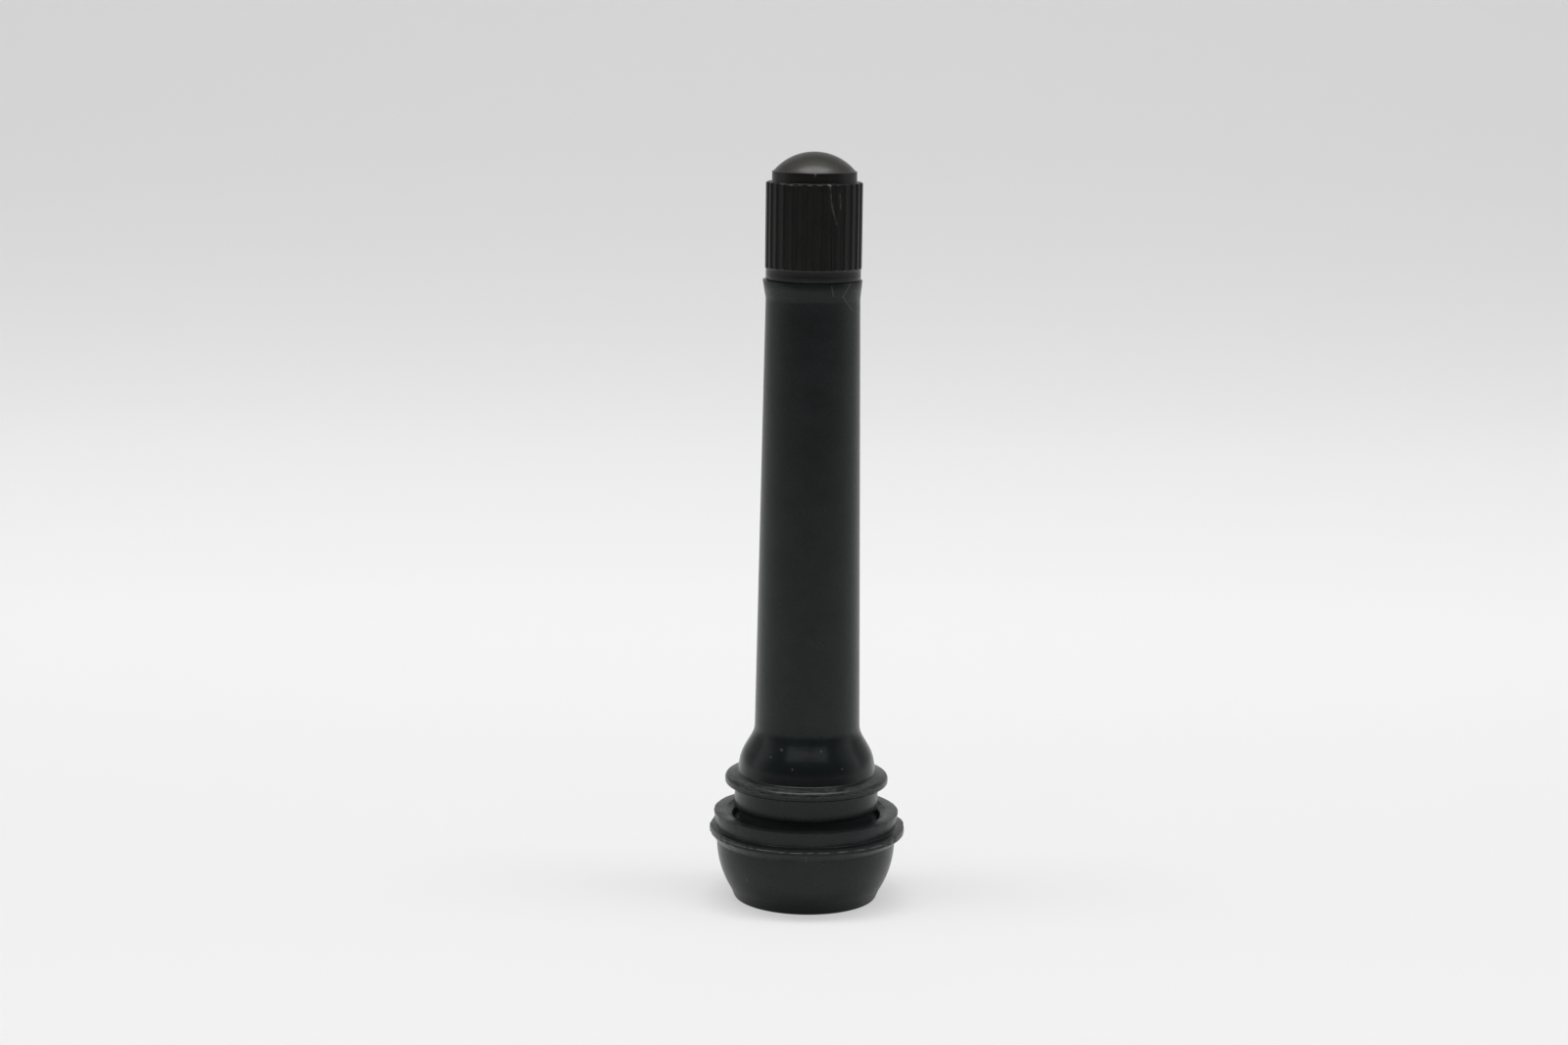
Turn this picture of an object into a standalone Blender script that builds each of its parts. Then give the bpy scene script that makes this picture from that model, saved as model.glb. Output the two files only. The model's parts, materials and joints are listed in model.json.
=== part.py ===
"""Long tubeless snap-in tyre valve: moulded rubber body on a brass stem, screw cap, and a valve core inside.

Metres, +Z up. The valve stands on its foot, with the origin in the middle of the foot ring. Everything is
turned about Z. The rubber is drawn from the foot up; the cap and the core are drawn from the stem's mouth.
"""

import math

import bmesh
import bpy
from mathutils import Matrix, Vector

# Rubber body: foot, bowl, parting lip and rim flange
BOWL_RADIUS = 0.0092
BOWL_HEIGHT = 0.0061  # foot to where the bowl's side stands upright
BOWL_TUCK = 0.0019  # how far the bowl draws in down to the foot
FOOT_ROUND = 0.0008
FOOT_RING_WIDTH = 0.0026
FOOT_RECESS = 0.0008
AIR_HOLE_RADIUS = 0.0022
LIP_STAND = 0.0008  # upright side between the bowl and the parting lip
LIP_THICKNESS = 0.0006
LIP_OVERHANG = 0.00075
LIP_ROUND = 0.00012
FLANGE_STAND = 0.0017  # lip to the flat land on top
FLANGE_FLARE = 0.00023  # the wall over the lip leans out to the land
FLANGE_OVERHANG = 0.00033  # land edge beyond the bowl
LAND_WIDTH = 0.00125
LAND_STEP = 0.0001
DISH_FALL = 0.0003  # land step to the groove's edge
DISH_ROOM = 0.0002  # barrel to the groove's edge
DISH_DEPTH = 0.0017  # land step to the root of the neck
DISH_FLOOR = 0.001  # neck to the groove's wall

# Rubber body: sealing barrel, indicator ring, bulb, stem sleeve and collar
GROOVE_WIDTH = 0.0006  # land to the barrel, where the rim's edge sits
NECK_DEPTH = 0.0017  # how far the neck is undercut below the barrel
NECK_FILLET = 0.00034
BARREL_RADIUS = 0.0074
BARREL_LENGTH = 0.0023
BARREL_ROUND = 0.00024
RING_OVERHANG = 0.001
RING_THICKNESS = 0.0009
RING_SHOULDER = 0.00044
RING_EDGE = 0.0003
RING_FALL = 0.00004  # foot of the bulb to the ring's shoulder
BULB_RADIUS = 0.00708
BULB_DRAFT = 0.0002
BULB_SIDE = 0.00214
BULB_ROUND = 0.0037
BULB_SHOULDER = 0.0025
SLEEVE_LENGTH = 0.0446  # bulb shoulder to the start of the collar
SLEEVE_TAPER = 0.00064
SLEEVE_FILLET = 0.0022
RUBBER_WALL = 0.00108
COLLAR_LENGTH = 0.0019
COLLAR_FLARE = 0.0002

# Valve core, from the pin outwards
PIN_RADIUS = 0.0005
PIN_HEAD_RADIUS = 0.0008
PIN_HEAD_LENGTH = 0.0011
PIN_RECESS = 0.00015  # pin tip below the mouth
PIN_TRAVEL = 0.0012
PIN_TAIL_LENGTH = 0.0008
PIN_TAIL_SPREAD = 0.00035
PIN_TAIL_ROOM = 0.0005  # under the tail when the pin is pressed right in
SPRING_WIRE = 0.00025
SPRING_TURNS = 6
SPRING_CLOSED_PITCH = 0.000275  # of the first and the last turn
SPRING_HOLLOW = 0.00028  # pin to the inside of the spring
SPRING_ROOM = 0.0002  # outside of the spring to the barrel's bore
SPRING_SEAT_THICKNESS = 0.0004
SPRING_SEAT_ROOM = 0.00015  # round the seat, inside the barrel
BARREL_WALL = 0.00025
BARREL_ROOF = 0.0004
BARREL_HEAD_HEIGHT = 0.0012
BARREL_HEAD_WALL = 0.0006
BARREL_NECK_WALL = 0.00036
COLLAR_PLATE = 0.0009  # flange over the gasket
COLLAR_PLATE_OVERHANG = 0.00055
GASKET_LENGTH = 0.0025
GASKET_FLARE = 0.00035
GASKET_PLATE = 0.0005  # flange under the gasket
NOSE_LENGTH = 0.0015
NOSE_FLOOR = 0.0013
SEAL_LENGTH = 0.0011
SEAL_PROUD = 0.00025  # plunger seal above the rim of its cup
CUP_WALL = 0.00025
CUP_FLOOR = 0.0005
CUP_ROOM = 0.00022  # round the cup, for the air
PLUG_RECESS = 0.0011  # ears below the mouth
EAR_HEIGHT = 0.0019
EAR_WIDTH = 0.0017
EAR_INSET = 0.0006
PLUG_LENGTH = 0.0038
BRIDGE_THICKNESS = 0.0006
PIN_HEAD_ROOM = 0.0002
SKIRT_LENGTH = 0.0016
SKIRT_LIP = 0.0006
SKIRT_WALL = 0.0005

# Brass stem
CHAMBER_ROOM = 0.00034  # gasket to the chamber's wall
CHAMBER_LEAD = 0.0006  # taper from the chamber down to the gasket's seat
STEM_WALL = 0.0012  # chamber to the outside of the cap thread
MOUTH_LEAD = 0.00025
MOUTH_CHAMFER = 0.0005
MOUTH_CHAMFER_LENGTH = 0.0006
THREAD_EXPOSED = 0.0098  # rubber collar to the mouth
THREAD_RUNOUT = 0.0008
SHANK_DROP = 0.0002  # shank inside the rubber, below the thread's outside
LOWER_BORE_RADIUS = 0.0016
FOOT_FLANGE_RADIUS = 0.0046
FOOT_FLANGE_THICKNESS = 0.0015
FOOT_COVER = 0.0025  # rubber under the brass
BOND_GROOVES = 2
BOND_GROOVE_WIDTH = 0.0012
BOND_GROOVE_DEPTH = 0.0003
BOND_GROOVE_SPACING = 0.0036

# Screw cap and its seal
CAP_GAP = 0.00005  # rubber collar to the cap
CAP_WALL = 0.00092
CAP_BAND_HEIGHT = 0.00105
CAP_BAND_SETBACK = 0.00007
CAP_LEAD = 0.0003  # opens the bore at the band
CAP_SHOULDER_ROUND = 0.0002
CAP_NECK_SETBACK = 0.0006
CAP_NECK_HEIGHT = 0.00107
CAP_DOME_HEIGHT = 0.00193
CAP_DOME_LEDGE = 0.00014  # round the foot of the dome
CAP_POCKET_SETBACK = 0.0005
CAP_SEAL_THICKNESS = 0.00085
CAP_SEAL_HOLE = 0.0022
CAP_RECESS_RADIUS = 0.002
CAP_RECESS_HEIGHT = 0.0008
FLUTES = 30
FLUTE_RADIUS = 0.0003
FLUTE_DEPTH = 0.00022

# Clearances
BOND = 0.00005  # between pieces that are pressed or bonded together
RUN = 0.0001  # between pieces that turn or slide on each other
THREAD_FIT = 0.00015  # over the crests of the core's thread
CAP_FIT = 0.0001  # over the crests of the cap's thread

# Facets
RUBBER_SIDES = 40
BRASS_SIDES = 32
CORE_SIDES = 24
PIN_SIDES = 16
SIDES_PER_FLUTE = 2
FLUTE_SIDES = 8
WIRE_SIDES = 6
STEPS_PER_TURN = 12
BOWL_STEPS = 5
DOME_STEPS = 6
ARC_STEP = math.radians(20)
ARC_CHORD = 0.0002
SHARP_EDGE = math.radians(35)
MERGE_DISTANCE = 1e-7

# Heights above the foot
LIP_BASE = BOWL_HEIGHT + LIP_STAND
LIP_TOP = LIP_BASE + LIP_THICKNESS
LAND_HEIGHT = LIP_TOP + FLANGE_STAND
BARREL_BASE = LAND_HEIGHT + GROOVE_WIDTH
RING_BASE = BARREL_BASE + BARREL_LENGTH
RING_TOP = RING_BASE + RING_THICKNESS
BULB_TOP = RING_TOP + BULB_SIDE
SLEEVE_BASE = BULB_TOP + BULB_SHOULDER
COLLAR_BASE = SLEEVE_BASE + SLEEVE_LENGTH
RUBBER_TOP = COLLAR_BASE + COLLAR_LENGTH
MOUTH = RUBBER_TOP + THREAD_EXPOSED

# Radii of the core, each worked out from the piece inside it
GUIDE_RADIUS = PIN_RADIUS + RUN
SPRING_MEAN = PIN_RADIUS + SPRING_HOLLOW + SPRING_WIRE / 2
BARREL_BORE = SPRING_MEAN + SPRING_WIRE / 2 + SPRING_ROOM
BARREL_TUBE = BARREL_BORE + BARREL_WALL
BARREL_NECK = GUIDE_RADIUS + BARREL_NECK_WALL
BARREL_HEAD = GUIDE_RADIUS + BARREL_HEAD_WALL
CUP_RADIUS = BARREL_TUBE + BOND + CUP_WALL
SEAT_RADIUS = CUP_RADIUS + CUP_ROOM
GASKET_LOWER = SEAT_RADIUS - BOND
GASKET_UPPER = GASKET_LOWER + GASKET_FLARE
CHAMBER_RADIUS = GASKET_UPPER + CHAMBER_ROOM
PLUG_RADIUS = CHAMBER_RADIUS - THREAD_FIT
THREAD_RADIUS = CHAMBER_RADIUS + STEM_WALL
SHANK_RADIUS = THREAD_RADIUS - SHANK_DROP
SLEEVE_RADIUS = SHANK_RADIUS + BOND + RUBBER_WALL

# Heights of the core from the mouth, which are negative
PIN_TOP = -PIN_RECESS
EAR_TOP = -PLUG_RECESS
PLUG_TOP = EAR_TOP - EAR_HEIGHT
PLUG_BASE = PLUG_TOP - PLUG_LENGTH
SKIRT_BASE = PLUG_BASE - SKIRT_LENGTH
HEAD_BASE = SKIRT_BASE + SKIRT_LIP + RUN
HEAD_TOP = HEAD_BASE + BARREL_HEAD_HEIGHT
PLATE_TOP = SKIRT_BASE - RUN
PLATE_BASE = PLATE_TOP - COLLAR_PLATE
GASKET_TOP = PLATE_BASE - BOND
GASKET_BASE = GASKET_TOP - GASKET_LENGTH
LOWER_PLATE_TOP = GASKET_BASE - BOND
NOSE_TOP = LOWER_PLATE_TOP - GASKET_PLATE
NOSE_END = NOSE_TOP - NOSE_LENGTH
BORE_FLOOR = NOSE_END + NOSE_FLOOR
BORE_ROOF = PLATE_TOP - BARREL_ROOF
SPRING_SEAT_TOP = BORE_ROOF - RUN
SPRING_SEAT_BASE = SPRING_SEAT_TOP - SPRING_SEAT_THICKNESS
SEAL_TOP = NOSE_END - BOND
SEAL_BASE = SEAL_TOP - SEAL_LENGTH
CUP_RIM = SEAL_TOP - SEAL_PROUD
CUP_INSIDE = SEAL_BASE - BOND
CUP_BASE = CUP_INSIDE - CUP_FLOOR
TAIL_TOP = CUP_BASE - BOND
TAIL_END = TAIL_TOP - PIN_TAIL_LENGTH
SEAT_END = TAIL_END - PIN_TRAVEL - PIN_TAIL_ROOM

# The cap, from the mouth
CAP_BASE = RUBBER_TOP + CAP_GAP - MOUTH
CAP_BORE = THREAD_RADIUS + CAP_FIT
CAP_RADIUS = CAP_BORE + CAP_WALL
CAP_NECK_RADIUS = CAP_RADIUS - CAP_NECK_SETBACK
CAP_POCKET_RADIUS = CAP_BORE - CAP_POCKET_SETBACK
CAP_CEILING = CAP_SEAL_THICKNESS + 2 * BOND


def clear_scene():
    for obj in list(bpy.data.objects):
        bpy.data.objects.remove(obj, do_unlink=True)


def material(name, colour, roughness, metallic=0.0):
    made = bpy.data.materials.new(name)
    made.use_nodes = True
    shader = made.node_tree.nodes["Principled BSDF"]
    shader.inputs["Base Color"].default_value = (*colour, 1.0)
    shader.inputs["Roughness"].default_value = roughness
    shader.inputs["Metallic"].default_value = metallic
    made.diffuse_color = (*colour, 1.0)
    return made


def rounded(corners):
    """An outline with its corners filleted. A corner is (radius, height) or (radius, height, fillet)."""
    outline = []
    for before, corner, after in zip([None, *corners], corners, [*corners[1:], None]):
        here = Vector(corner[:2])
        if len(corner) == 2 or before is None or after is None:
            outline.append(here)
            continue
        back = Vector(before[:2]) - here
        ahead = Vector(after[:2]) - here
        half = back.angle(ahead) / 2
        reach = min(back.length, ahead.length) * 0.49
        fillet = min(corner[2], reach * math.tan(half))  # limited by its two sides
        centre = here + (back.normalized() + ahead.normalized()).normalized() * fillet / math.sin(half)
        start = here + back.normalized() * fillet / math.tan(half) - centre
        end = here + ahead.normalized() * fillet / math.tan(half) - centre
        turn = math.atan2(start.x * end.y - start.y * end.x, start.dot(end))
        steps = max(1, round(min(abs(turn) / ARC_STEP, abs(turn) * fillet / ARC_CHORD)))
        for step in range(steps + 1):
            outline.append(centre + Matrix.Rotation(turn * step / steps, 2) @ start)
    return outline


def arc(start, end, radius, steps):
    """Points from start to end on a circle whose centre lies to the left of the way from one to the other."""
    start, end = Vector(start), Vector(end)
    chord = end - start
    middle = (start + end) / 2
    left = Vector((-chord.y, chord.x)).normalized()
    centre = middle + left * math.sqrt(radius**2 - (chord.length / 2) ** 2)
    first, last = start - centre, end - centre
    turn = math.atan2(first.x * last.y - first.y * last.x, first.dot(last))
    return [centre + Matrix.Rotation(turn * step / steps, 2) @ first for step in range(steps + 1)]


def place(obj, finish, parent=None):
    bpy.context.scene.collection.objects.link(obj)
    obj.data.materials.append(finish)
    obj.parent = parent
    obj.data.shade_smooth()
    obj.data.set_sharp_from_angle(angle=SHARP_EDGE)
    return obj


def turned(name, outline, sides, finish, parent=None):
    """A solid turned about Z. The outline closes on itself, unless both its ends are on the axis."""
    mesh = bmesh.new()
    points = [mesh.verts.new((radius, 0.0, level)) for radius, level in outline]
    on_axis = outline[0][0] == 0 and outline[-1][0] == 0
    pairs = list(zip(points, points[1:])) + ([] if on_axis else [(points[-1], points[0])])
    edges = [mesh.edges.new(pair) for pair in pairs]
    bmesh.ops.spin(
        mesh, geom=points + edges, axis=(0, 0, 1), cent=(0, 0, 0), angle=math.tau, steps=sides, use_merge=True
    )
    bmesh.ops.remove_doubles(mesh, verts=mesh.verts, dist=MERGE_DISTANCE)
    bmesh.ops.dissolve_degenerate(mesh, edges=mesh.edges, dist=MERGE_DISTANCE)
    bmesh.ops.recalc_face_normals(mesh, faces=mesh.faces)
    data = bpy.data.meshes.new(name)
    mesh.to_mesh(data)
    mesh.free()
    return place(bpy.data.objects.new(name, data), finish, parent)


def axis_empty(name, parent=None, height=0.0):
    empty = bpy.data.objects.new(name, None)
    empty.empty_display_size = 0.005
    empty.parent = parent
    empty.location.z = height
    bpy.context.scene.collection.objects.link(empty)
    return empty


def cut(obj, name, mesh):
    """Cuts a mesh out of an object, and keeps the cutter as a hidden wire object in the same frame."""
    data = bpy.data.meshes.new(name)
    mesh.to_mesh(data)
    mesh.free()
    cutter = bpy.data.objects.new(name, data)
    cutter.hide_render = True
    cutter.display_type = "WIRE"
    cutter.parent = obj
    bpy.context.scene.collection.objects.link(cutter)
    boolean = obj.modifiers.new(name, "BOOLEAN")
    boolean.operation = "DIFFERENCE"
    boolean.solver = "EXACT"
    boolean.object = cutter


def bond_grooves(gap):
    """The grooves turned into the brass shank, which the rubber flows into."""
    corners = []
    for turn in range(BOND_GROOVES):
        top = FOOT_COVER + FOOT_FLANGE_THICKNESS + BOND_GROOVE_SPACING * (BOND_GROOVES - turn)
        inner = SHANK_RADIUS - BOND_GROOVE_DEPTH + gap
        corners += [
            (SHANK_RADIUS + gap, top - gap),
            (inner, top - gap),
            (inner, top - BOND_GROOVE_WIDTH + gap),
            (SHANK_RADIUS + gap, top - BOND_GROOVE_WIDTH + gap),
        ]
    return corners


def brass_skin(gap=0.0):
    """The outside of the brass inside the rubber, from above down. With a gap it is the rubber's own bore."""
    flange_top = FOOT_COVER + FOOT_FLANGE_THICKNESS
    return [
        *bond_grooves(gap),
        (SHANK_RADIUS + gap, flange_top + (FOOT_FLANGE_RADIUS - SHANK_RADIUS) + gap / 2),
        (FOOT_FLANGE_RADIUS + gap, flange_top + gap / 2),
        (FOOT_FLANGE_RADIUS + gap, FOOT_COVER - gap),
    ]


def rubber_body(finish):
    foot_radius = BOWL_RADIUS - BOWL_TUCK
    bowl_rise = BOWL_HEIGHT - FOOT_ROUND
    sphere_radius = (bowl_rise**2 + BOWL_TUCK**2) / (2 * BOWL_TUCK)  # the bowl's side is part of a sphere
    bowl = arc((foot_radius, FOOT_ROUND), (BOWL_RADIUS, BOWL_HEIGHT), sphere_radius, BOWL_STEPS)
    recess_radius = foot_radius - FOOT_RING_WIDTH
    lip_radius = BOWL_RADIUS + LIP_OVERHANG
    land_edge = BOWL_RADIUS + FLANGE_OVERHANG
    land_inner = land_edge - LAND_WIDTH
    neck_radius = BARREL_RADIUS - NECK_DEPTH
    dish_root = LAND_HEIGHT - LAND_STEP - DISH_DEPTH
    ring_radius = BARREL_RADIUS + RING_OVERHANG
    base = rounded([
        (AIR_HOLE_RADIUS, FOOT_RECESS),
        (recess_radius, FOOT_RECESS, FOOT_RECESS / 2),
        (recess_radius + FOOT_RECESS / 2, 0.0),
        (foot_radius, 0.0, FOOT_ROUND),
        tuple(bowl[1]),
    ])[:-1]
    flange = rounded([
        tuple(bowl[-1]),
        (BOWL_RADIUS, LIP_BASE - LIP_ROUND, LIP_ROUND),
        (lip_radius, LIP_BASE, LIP_ROUND),
        (lip_radius, LIP_TOP - LIP_ROUND, LIP_ROUND),
        (land_edge - FLANGE_FLARE, LIP_TOP + LIP_ROUND, LIP_ROUND),
        (land_edge, LAND_HEIGHT),
        (land_inner, LAND_HEIGHT),
        (land_inner - LAND_STEP, LAND_HEIGHT - LAND_STEP),
        (BARREL_RADIUS + DISH_ROOM, LAND_HEIGHT - LAND_STEP - DISH_FALL, NECK_FILLET / 2),
        (neck_radius + DISH_FLOOR, dish_root, NECK_FILLET),
        (neck_radius, dish_root, NECK_FILLET),
        (neck_radius, BARREL_BASE, NECK_FILLET / 2),
        (BARREL_RADIUS, BARREL_BASE, BARREL_ROUND),
        (BARREL_RADIUS, RING_BASE, BARREL_ROUND / 2),
        (ring_radius, RING_BASE, RING_EDGE),
        (ring_radius, RING_TOP, RING_SHOULDER),
        (BULB_RADIUS, RING_TOP + RING_FALL, RING_EDGE),
        (BULB_RADIUS - BULB_DRAFT, BULB_TOP, BULB_ROUND),
        (SLEEVE_RADIUS + SLEEVE_TAPER, SLEEVE_BASE, SLEEVE_FILLET),
        (SLEEVE_RADIUS, COLLAR_BASE),
        (SLEEVE_RADIUS + COLLAR_FLARE, RUBBER_TOP),
        (SHANK_RADIUS + BOND, RUBBER_TOP),
    ])[1:]
    bore = brass_skin(BOND) + [(AIR_HOLE_RADIUS, FOOT_COVER - BOND)]
    return turned("rubber_body", [*base, *bowl[1:], *flange, *bore], RUBBER_SIDES, finish)


def brass_stem(finish):
    thread_end = RUBBER_TOP + THREAD_RUNOUT
    outside = [
        (THREAD_RADIUS - MOUTH_CHAMFER, MOUTH),
        (THREAD_RADIUS, MOUTH - MOUTH_CHAMFER_LENGTH),
        (THREAD_RADIUS, thread_end),
        (SHANK_RADIUS, thread_end - SHANK_DROP),
        *brass_skin(),
    ]
    bore = [
        (LOWER_BORE_RADIUS, FOOT_COVER),
        (LOWER_BORE_RADIUS, MOUTH + SEAT_END - (SEAT_RADIUS - LOWER_BORE_RADIUS)),
        (SEAT_RADIUS, MOUTH + SEAT_END),
        (SEAT_RADIUS, MOUTH + GASKET_BASE),
        (GASKET_UPPER + BOND, MOUTH + GASKET_TOP),
        (GASKET_UPPER + BOND, MOUTH + GASKET_TOP + BOND),
        (CHAMBER_RADIUS, MOUTH + GASKET_TOP + CHAMBER_LEAD),
        (CHAMBER_RADIUS, MOUTH - MOUTH_LEAD),
        (CHAMBER_RADIUS + MOUTH_LEAD, MOUTH),
    ]
    return turned("brass_stem", outside + bore, BRASS_SIDES, finish)


def cap_shell(finish, parent):
    dome_foot = CAP_NECK_RADIUS - CAP_DOME_LEDGE
    dome_radius = (dome_foot**2 + CAP_DOME_HEIGHT**2) / (2 * CAP_DOME_HEIGHT)
    dome_top = CAP_NECK_HEIGHT + CAP_DOME_HEIGHT
    dome = arc((dome_foot, CAP_NECK_HEIGHT), (0.0, dome_top), dome_radius, DOME_STEPS)
    band_radius = CAP_RADIUS - CAP_BAND_SETBACK
    side = rounded([
        (CAP_BORE + CAP_LEAD / 3, CAP_BASE),
        (band_radius, CAP_BASE, CAP_BAND_SETBACK),
        (band_radius, CAP_BASE + CAP_BAND_HEIGHT),
        (CAP_RADIUS, CAP_BASE + CAP_BAND_HEIGHT + CAP_BAND_SETBACK),
        (CAP_RADIUS, 0.0, CAP_SHOULDER_ROUND),
        (CAP_NECK_RADIUS, 0.0),
        (CAP_NECK_RADIUS, CAP_NECK_HEIGHT),
    ])
    inside = [
        (0.0, CAP_CEILING + CAP_RECESS_HEIGHT),
        (CAP_RECESS_RADIUS, CAP_CEILING + CAP_RECESS_HEIGHT),
        (CAP_RECESS_RADIUS, CAP_CEILING),
        (CAP_POCKET_RADIUS, CAP_CEILING),
        (CAP_POCKET_RADIUS, 0.0),
        (CAP_BORE, -MOUTH_CHAMFER_LENGTH),
        (CAP_BORE, CAP_BASE + CAP_LEAD),
    ]
    outline = inside + side + dome[:-1] + [(0.0, dome_top)]
    shell = turned("cap_shell", outline, FLUTES * SIDES_PER_FLUTE, finish, parent)
    cutters = bmesh.new()
    flute_base = CAP_BASE + CAP_BAND_HEIGHT + CAP_BAND_SETBACK * 2
    flute_top = CAP_NECK_HEIGHT / 2
    flat_inward = Matrix.Rotation(math.pi / FLUTE_SIDES, 4, "Z")
    for flute in range(FLUTES):
        turn = Matrix.Rotation(math.tau * (flute + 0.5) / FLUTES, 4, "Z")
        middle = Vector((CAP_RADIUS + FLUTE_RADIUS - FLUTE_DEPTH, 0.0, (flute_base + flute_top) / 2))
        bmesh.ops.create_cone(
            cutters,
            cap_ends=True,
            segments=FLUTE_SIDES,
            radius1=FLUTE_RADIUS,
            radius2=FLUTE_RADIUS,
            depth=flute_top - flute_base,
            matrix=turn @ Matrix.Translation(middle) @ flat_inward,
        )
    cut(shell, "flute_cutters", cutters)
    return shell


def cap_seal(finish, parent):
    outside = CAP_POCKET_RADIUS - BOND
    outline = [
        (CAP_SEAL_HOLE, BOND),
        (outside, BOND),
        (outside, BOND + CAP_SEAL_THICKNESS),
        (CAP_SEAL_HOLE, BOND + CAP_SEAL_THICKNESS),
    ]
    return turned("cap_seal", outline, BRASS_SIDES, finish, parent)


def core_plug(finish, parent):
    ear_radius = PLUG_RADIUS - EAR_INSET
    head_room = PIN_HEAD_RADIUS + PIN_HEAD_ROOM
    pocket_radius = BARREL_HEAD + RUN
    skirt_radius = pocket_radius + SKIRT_WALL
    chamfer = EAR_INSET / 2
    outline = [
        (head_room, EAR_TOP),
        (head_room, PLUG_TOP),
        (GUIDE_RADIUS, PLUG_TOP),
        (GUIDE_RADIUS, PLUG_TOP - BRIDGE_THICKNESS),
        (head_room, PLUG_TOP - BRIDGE_THICKNESS),
        (head_room, HEAD_TOP + RUN),
        (pocket_radius, HEAD_TOP + RUN),
        (pocket_radius, SKIRT_BASE + SKIRT_LIP),
        (BARREL_NECK + RUN, SKIRT_BASE + SKIRT_LIP),
        (BARREL_NECK + RUN, SKIRT_BASE),
        (skirt_radius, SKIRT_BASE),
        (skirt_radius, PLUG_BASE),
        (PLUG_RADIUS - chamfer, PLUG_BASE),
        (PLUG_RADIUS, PLUG_BASE + chamfer),
        (PLUG_RADIUS, PLUG_TOP - chamfer),
        (PLUG_RADIUS - chamfer, PLUG_TOP),
        (ear_radius, PLUG_TOP),
        (ear_radius, EAR_TOP),
    ]
    plug = turned("core_plug", outline, CORE_SIDES, finish, parent)
    cutters = bmesh.new()
    milled = PLUG_RADIUS  # well past the ears
    for side in (-1, 1):
        middle = Vector((0.0, side * (EAR_WIDTH + milled) / 2, (EAR_TOP + PLUG_TOP) / 2 + RUN))
        bmesh.ops.create_cube(
            cutters,
            size=1.0,
            matrix=Matrix.Translation(middle) @ Matrix.Diagonal((milled * 3, milled, EAR_HEIGHT, 1.0)),
        )
    cut(plug, "ear_cutters", cutters)
    return plug


def core_barrel(finish, parent):
    plate_radius = BARREL_TUBE + COLLAR_PLATE_OVERHANG
    lower_plate_radius = (BARREL_TUBE + GASKET_LOWER) / 2
    outline = [
        (GUIDE_RADIUS, NOSE_END),
        (BARREL_TUBE, NOSE_END),
        (BARREL_TUBE, NOSE_TOP),
        (lower_plate_radius, NOSE_TOP),
        (lower_plate_radius, LOWER_PLATE_TOP),
        (BARREL_TUBE, LOWER_PLATE_TOP),
        (BARREL_TUBE, PLATE_BASE),
        (plate_radius, PLATE_BASE),
        (plate_radius, PLATE_TOP),
        (BARREL_NECK, PLATE_TOP),
        (BARREL_NECK, HEAD_BASE),
        (BARREL_HEAD, HEAD_BASE),
        (BARREL_HEAD, HEAD_TOP),
        (GUIDE_RADIUS, HEAD_TOP),
        (GUIDE_RADIUS, BORE_ROOF),
        (BARREL_BORE, BORE_ROOF),
        (BARREL_BORE, BORE_FLOOR),
        (GUIDE_RADIUS, BORE_FLOOR),
    ]
    return turned("core_barrel", outline, CORE_SIDES, finish, parent)


def barrel_gasket(finish, parent):
    outline = rounded([
        (BARREL_TUBE + BOND, GASKET_BASE),
        (GASKET_LOWER, GASKET_BASE),
        (GASKET_UPPER, GASKET_TOP - GASKET_FLARE / 2),
        (GASKET_UPPER, GASKET_TOP),
        (BARREL_TUBE + BOND, GASKET_TOP),
    ])
    return turned("barrel_gasket", outline, CORE_SIDES, finish, parent)


def spring_height(share, low, high):
    """Height along the wire. The first and last turns lie closed on their neighbours, as ground ends do."""
    closed = 1 / SPRING_TURNS
    if share < closed:
        return low + SPRING_CLOSED_PITCH * share / closed
    if share > 1 - closed:
        return high - SPRING_CLOSED_PITCH * (1 - share) / closed
    open_rise = high - low - 2 * SPRING_CLOSED_PITCH
    return low + SPRING_CLOSED_PITCH + open_rise * (share - closed) / (1 - 2 * closed)


def core_spring(finish, parent):
    low = BORE_FLOOR + BOND + SPRING_WIRE / 2
    high = SPRING_SEAT_BASE - BOND - SPRING_WIRE / 2
    mesh = bmesh.new()
    steps = SPRING_TURNS * STEPS_PER_TURN
    rings = []
    for step in range(steps + 1):
        turn = Matrix.Rotation(math.tau * step / STEPS_PER_TURN, 3, "Z")
        centre = Vector((SPRING_MEAN, 0.0, spring_height(step / steps, low, high)))
        ring = []
        for side in range(WIRE_SIDES):
            angle = math.tau * side / WIRE_SIDES
            offset = Vector((math.cos(angle), 0.0, math.sin(angle))) * SPRING_WIRE / 2
            ring.append(mesh.verts.new(turn @ (centre + offset)))
        rings.append(ring)
    for ring, following in zip(rings, rings[1:]):
        for side in range(WIRE_SIDES):
            nearby = (side + 1) % WIRE_SIDES
            mesh.faces.new((ring[side], ring[nearby], following[nearby], following[side]))
    mesh.faces.new(rings[0])
    mesh.faces.new(rings[-1])
    bmesh.ops.recalc_face_normals(mesh, faces=mesh.faces)
    data = bpy.data.meshes.new("core_spring")
    mesh.to_mesh(data)
    mesh.free()
    return place(bpy.data.objects.new("core_spring", data), finish, parent)


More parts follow.
